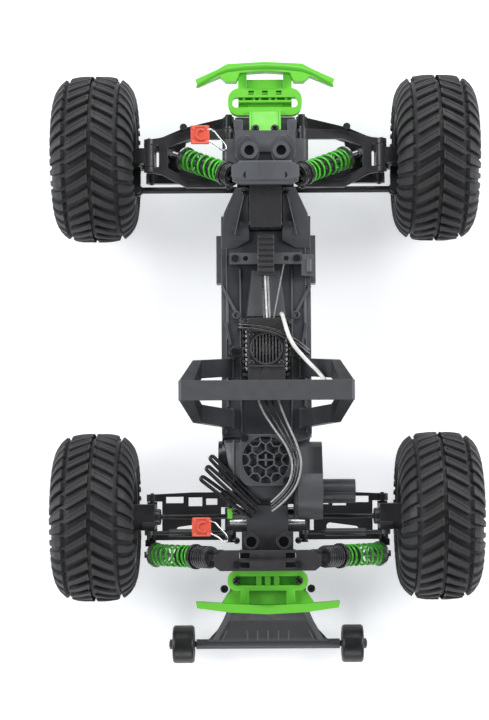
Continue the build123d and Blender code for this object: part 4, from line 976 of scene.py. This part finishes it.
for x in (-12.8, 0, 12.8):
    bumper.box(x - 5.0, x - 2.9, 209.4, 215.0, 63, 70.5)
    bumper.box(x + 2.9, x + 5.0, 209.4, 215.0, 63, 70.5)
bumper.box(-21.5, 21.5, 214.4, 216.2, 63, 71.5)
bumper.box(-21.5, 21.5, 207.6, 209.8, 63, 71.5)
for side in (1, -1):
    sloped(
        bumper,
        [(side * 12.6, 200), (side * 12.6, 183), (side * 10.8, 183), (side * 10.8, 200)],
        74,
        [77, 84.6, 84.6, 77],
    )
skid = bumper.piece("front_bumper_web", "chassis", GREEN, 0.6)

# web of the rear bumper, and a green clip beside the gearbox
tail = Solid()
tail.box(-19, 19, -192, -164.5, 62.2, 65.2)
tail.box(-25, 25, -179, -165.5, 65.0, 68.6)
for side in (1, -1):
    outline = [(19, -181), (27.5, -177.5), (31.5, -182), (37, -190), (19, -192)]
    tail.prism([(side * x, y) for x, y in outline], 66.2, 70.2)
for x in (-7, 0, 7):
    tail.box(x - 2.2, x + 2.2, -177.2, -168.2, 68.5, 71.5)
brace = tail.piece("rear_bumper_web", "chassis", GREEN, 0.6)
chip = Solid()
chip.box(-31, -27, -123, -115, 88, 94)
mark = chip.piece("rear_green_clip", "chassis", GREEN, 0.5)

# ribs and side struts of the wheelie bar
wheelie = Solid()


def plate_z(y):
    """Height of the sloping plate's top face."""
    return 58.4 + (y + 179) * (58.4 - 31.4) / (224 - 179)


def strip(solid, line, half_width, half_height):
    """Rectangular strip running back along a line of points."""
    rings = []
    for x, y, z in line:
        rings.append(
            [
                (x - half_width, y, z - half_height), (x + half_width, y, z - half_height),
                (x + half_width, y, z + half_height), (x - half_width, y, z + half_height),
            ]
        )
    solid.ring_stack(rings)


RIB_START, RIB_LENGTH = -180, 42.5
for k in range(-3, 4):
    x = k * 8.3
    flare = x * 0.5 if abs(k) == 3 else 0
    line = []
    for y in (-180, -190, -200, -210, -222.5):
        f = (RIB_START - y) / RIB_LENGTH
        line.append((x + flare * f**2, y, plate_z(y)))
    strip(wheelie, line, 0.8, 1.5)
for side in (1, -1):
    strip(wheelie, [(side * 27, -190, 54), (side * 34, -206, 44), (side * 43, -222, 33)], 2.4, 3)
struts = wheelie.piece("wheelie_ribs", "chassis", SLATE_DARK, 0.3)

# grooved sleeves round the damper bodies: where each starts, and how many ribs it has
SLEEVES = {"front": (4.5, 3), "rear": (9.0, 6)}
SLEEVE_BORE_R, GROOVE_R, RIB_R = 6.2, 7.9, 8.7
for end, (top, foot, spring_start, _, _) in SHOCKS.items():
    first, ribs_count = SLEEVES[end]
    length = spring_start - 2.6 - first
    profile = [(first, 6.4), (first + 0.6, 7.4)]
    for k in range(ribs_count):
        a = first + 0.8 + (length - 0.8) * k / ribs_count
        b = first + 0.8 + (length - 0.8) * (k + 0.62) / ribs_count
        profile += [(a, RIB_R), (b, RIB_R), (b + 0.1, GROOVE_R), (b + length * 0.3 / ribs_count, GROOVE_R)]
    profile += [(profile[-1][0], SLEEVE_BORE_R), (first, SLEEVE_BORE_R), profile[0]]
    for side, sign in (("left", -1), ("right", 1)):
        start = Vector((sign * top.x, top.y, top.z))
        axis = Vector((sign * foot.x, foot.y, foot.z)) - start
        sleeve_solid = Solid()
        sleeve_solid.turned(start, axis, profile, 28, False)
        made = sleeve_solid.piece(f"{end}_damper_sleeve_{side}", f"{end}_shock_body_{side}", GLOSS, angle=30)

# body clips: half size of the tab's plate, and the bent wire's route from the tab's centre
TAB_HALF = 7.4
CLIP_ROUTE = [
    (5.5, 4.4, 1.6), (10, 4.6, 1), (14, -1, -1), (19, -6, -3),
    (21, -11, -4), (17, -12, -4), (12, -7, -2), (6.5, -4.8, 1.6),
]


def r_clip(name, x, y, z):
    """Body clip of bent wire with its pull tab."""
    tab = Solid()
    outline = []
    for quarter, (cx, cy) in enumerate(((1, 1), (-1, 1), (-1, -1), (1, -1))):
        for k in range(5):
            t = quarter * pi / 2 + k * pi / 8
            outline.append((x + cx * TAB_HALF * 0.82 + 1.3 * cos(t), y + cy * TAB_HALF * 0.82 + 1.3 * sin(t)))
    tab.prism(outline, z, z + 1.7)
    # raised ring, open towards the wire
    for k in range(24):
        t, following = (pi - 2.2 + n * 4.4 / 24 for n in (k, k + 1))
        corners = ((3.1, t), (4.7, t), (4.7, following), (3.1, following))
        tab.prism([(x + 1 + r * cos(turn), y + r * sin(turn)) for r, turn in corners], z + 1.5, z + 3.4)
    # studs at the corners and a rib along two sides
    for sx in (-5.2, 5.2):
        for sy in (-5.4, 5.4):
            tab.box(x + sx - 1.1, x + sx + 1.1, y + sy - 0.9, y + sy + 0.9, z + 1.5, z + 2.6)
    tab.box(x - 6.9, x + 6.9, y + 6.0, y + 7.2, z + 1.5, z + 2.7)
    tab.box(x - 6.9, x + 6.9, y - 7.2, y - 6.0, z + 1.5, z + 2.7)
    made = tab.piece(f"pull_tab_{name}", "chassis", RED, 0.3)
    clip = wire(f"r_clip_{name}", [(x + dx, y + dy, z + dz) for dx, dy, dz in CLIP_ROUTE], 1.3, BRIGHT, 3, 12)


r_clip("front", -51, 177, 96)
r_clip("rear", -51, -129, 96)

# ---------------------------------------------------------------- stage

floor_data = bpy.data.meshes.new("floor")
floor_data.from_pydata([(-6, -6, 0), (6, -6, 0), (6, 6, 0), (-6, 6, 0)], [], [(0, 1, 2, 3)])
floor = bpy.data.objects.new("floor", floor_data)
scene.collection.objects.link(floor)
floor_shader = Shader("studio_floor", (0.86, 0.87, 0.885), 0.6)
floor_shader.paint(floor_shader.noise(1.5, 2), 0.012)
floor_shader.bsdf.inputs["Specular IOR Level"].default_value = 0.1
floor_shader.bsdf.inputs["Roughness"].default_value = 0.7
floor_shader.bsdf.inputs["Emission Color"].default_value = (0.95, 0.97, 1.0, 1)
floor_shader.bsdf.inputs["Emission Strength"].default_value = 0.42
floor_data.materials.append(floor_shader.material)

world = bpy.data.worlds.new("studio")
world.use_nodes = True
world.node_tree.nodes["Background"].inputs["Color"].default_value = (0.93, 0.96, 1.0, 1)
world.node_tree.nodes["Background"].inputs["Strength"].default_value = 0.2
scene.world = world


def softbox(name, place, size, power, target=(0, 0, 0)):
    """Rectangular studio light aimed at a point."""
    light = bpy.data.lights.new(name, "AREA")
    light.shape = "RECTANGLE"
    light.size, light.size_y = size
    light.energy = power
    obj = bpy.data.objects.new(name, light)
    obj.location = place
    obj.rotation_euler = (Vector(target) - Vector(place)).to_track_quat("-Z", "Y").to_euler()
    scene.collection.objects.link(obj)


softbox("softbox_left", (-2.1, 0.3, 1.35), (1.1, 2.2), 46)
softbox("softbox_right", (2.1, 0.4, 1.35), (1.1, 2.2), 46)
softbox("softbox_front", (0.2, 2.1, 1.5), (2.2, 1.0), 40)
softbox("softbox_rear", (-0.2, -2.2, 1.3), (2.0, 0.9), 22)

scene.view_settings.view_transform = "Standard"
scene.view_settings.look = "None"
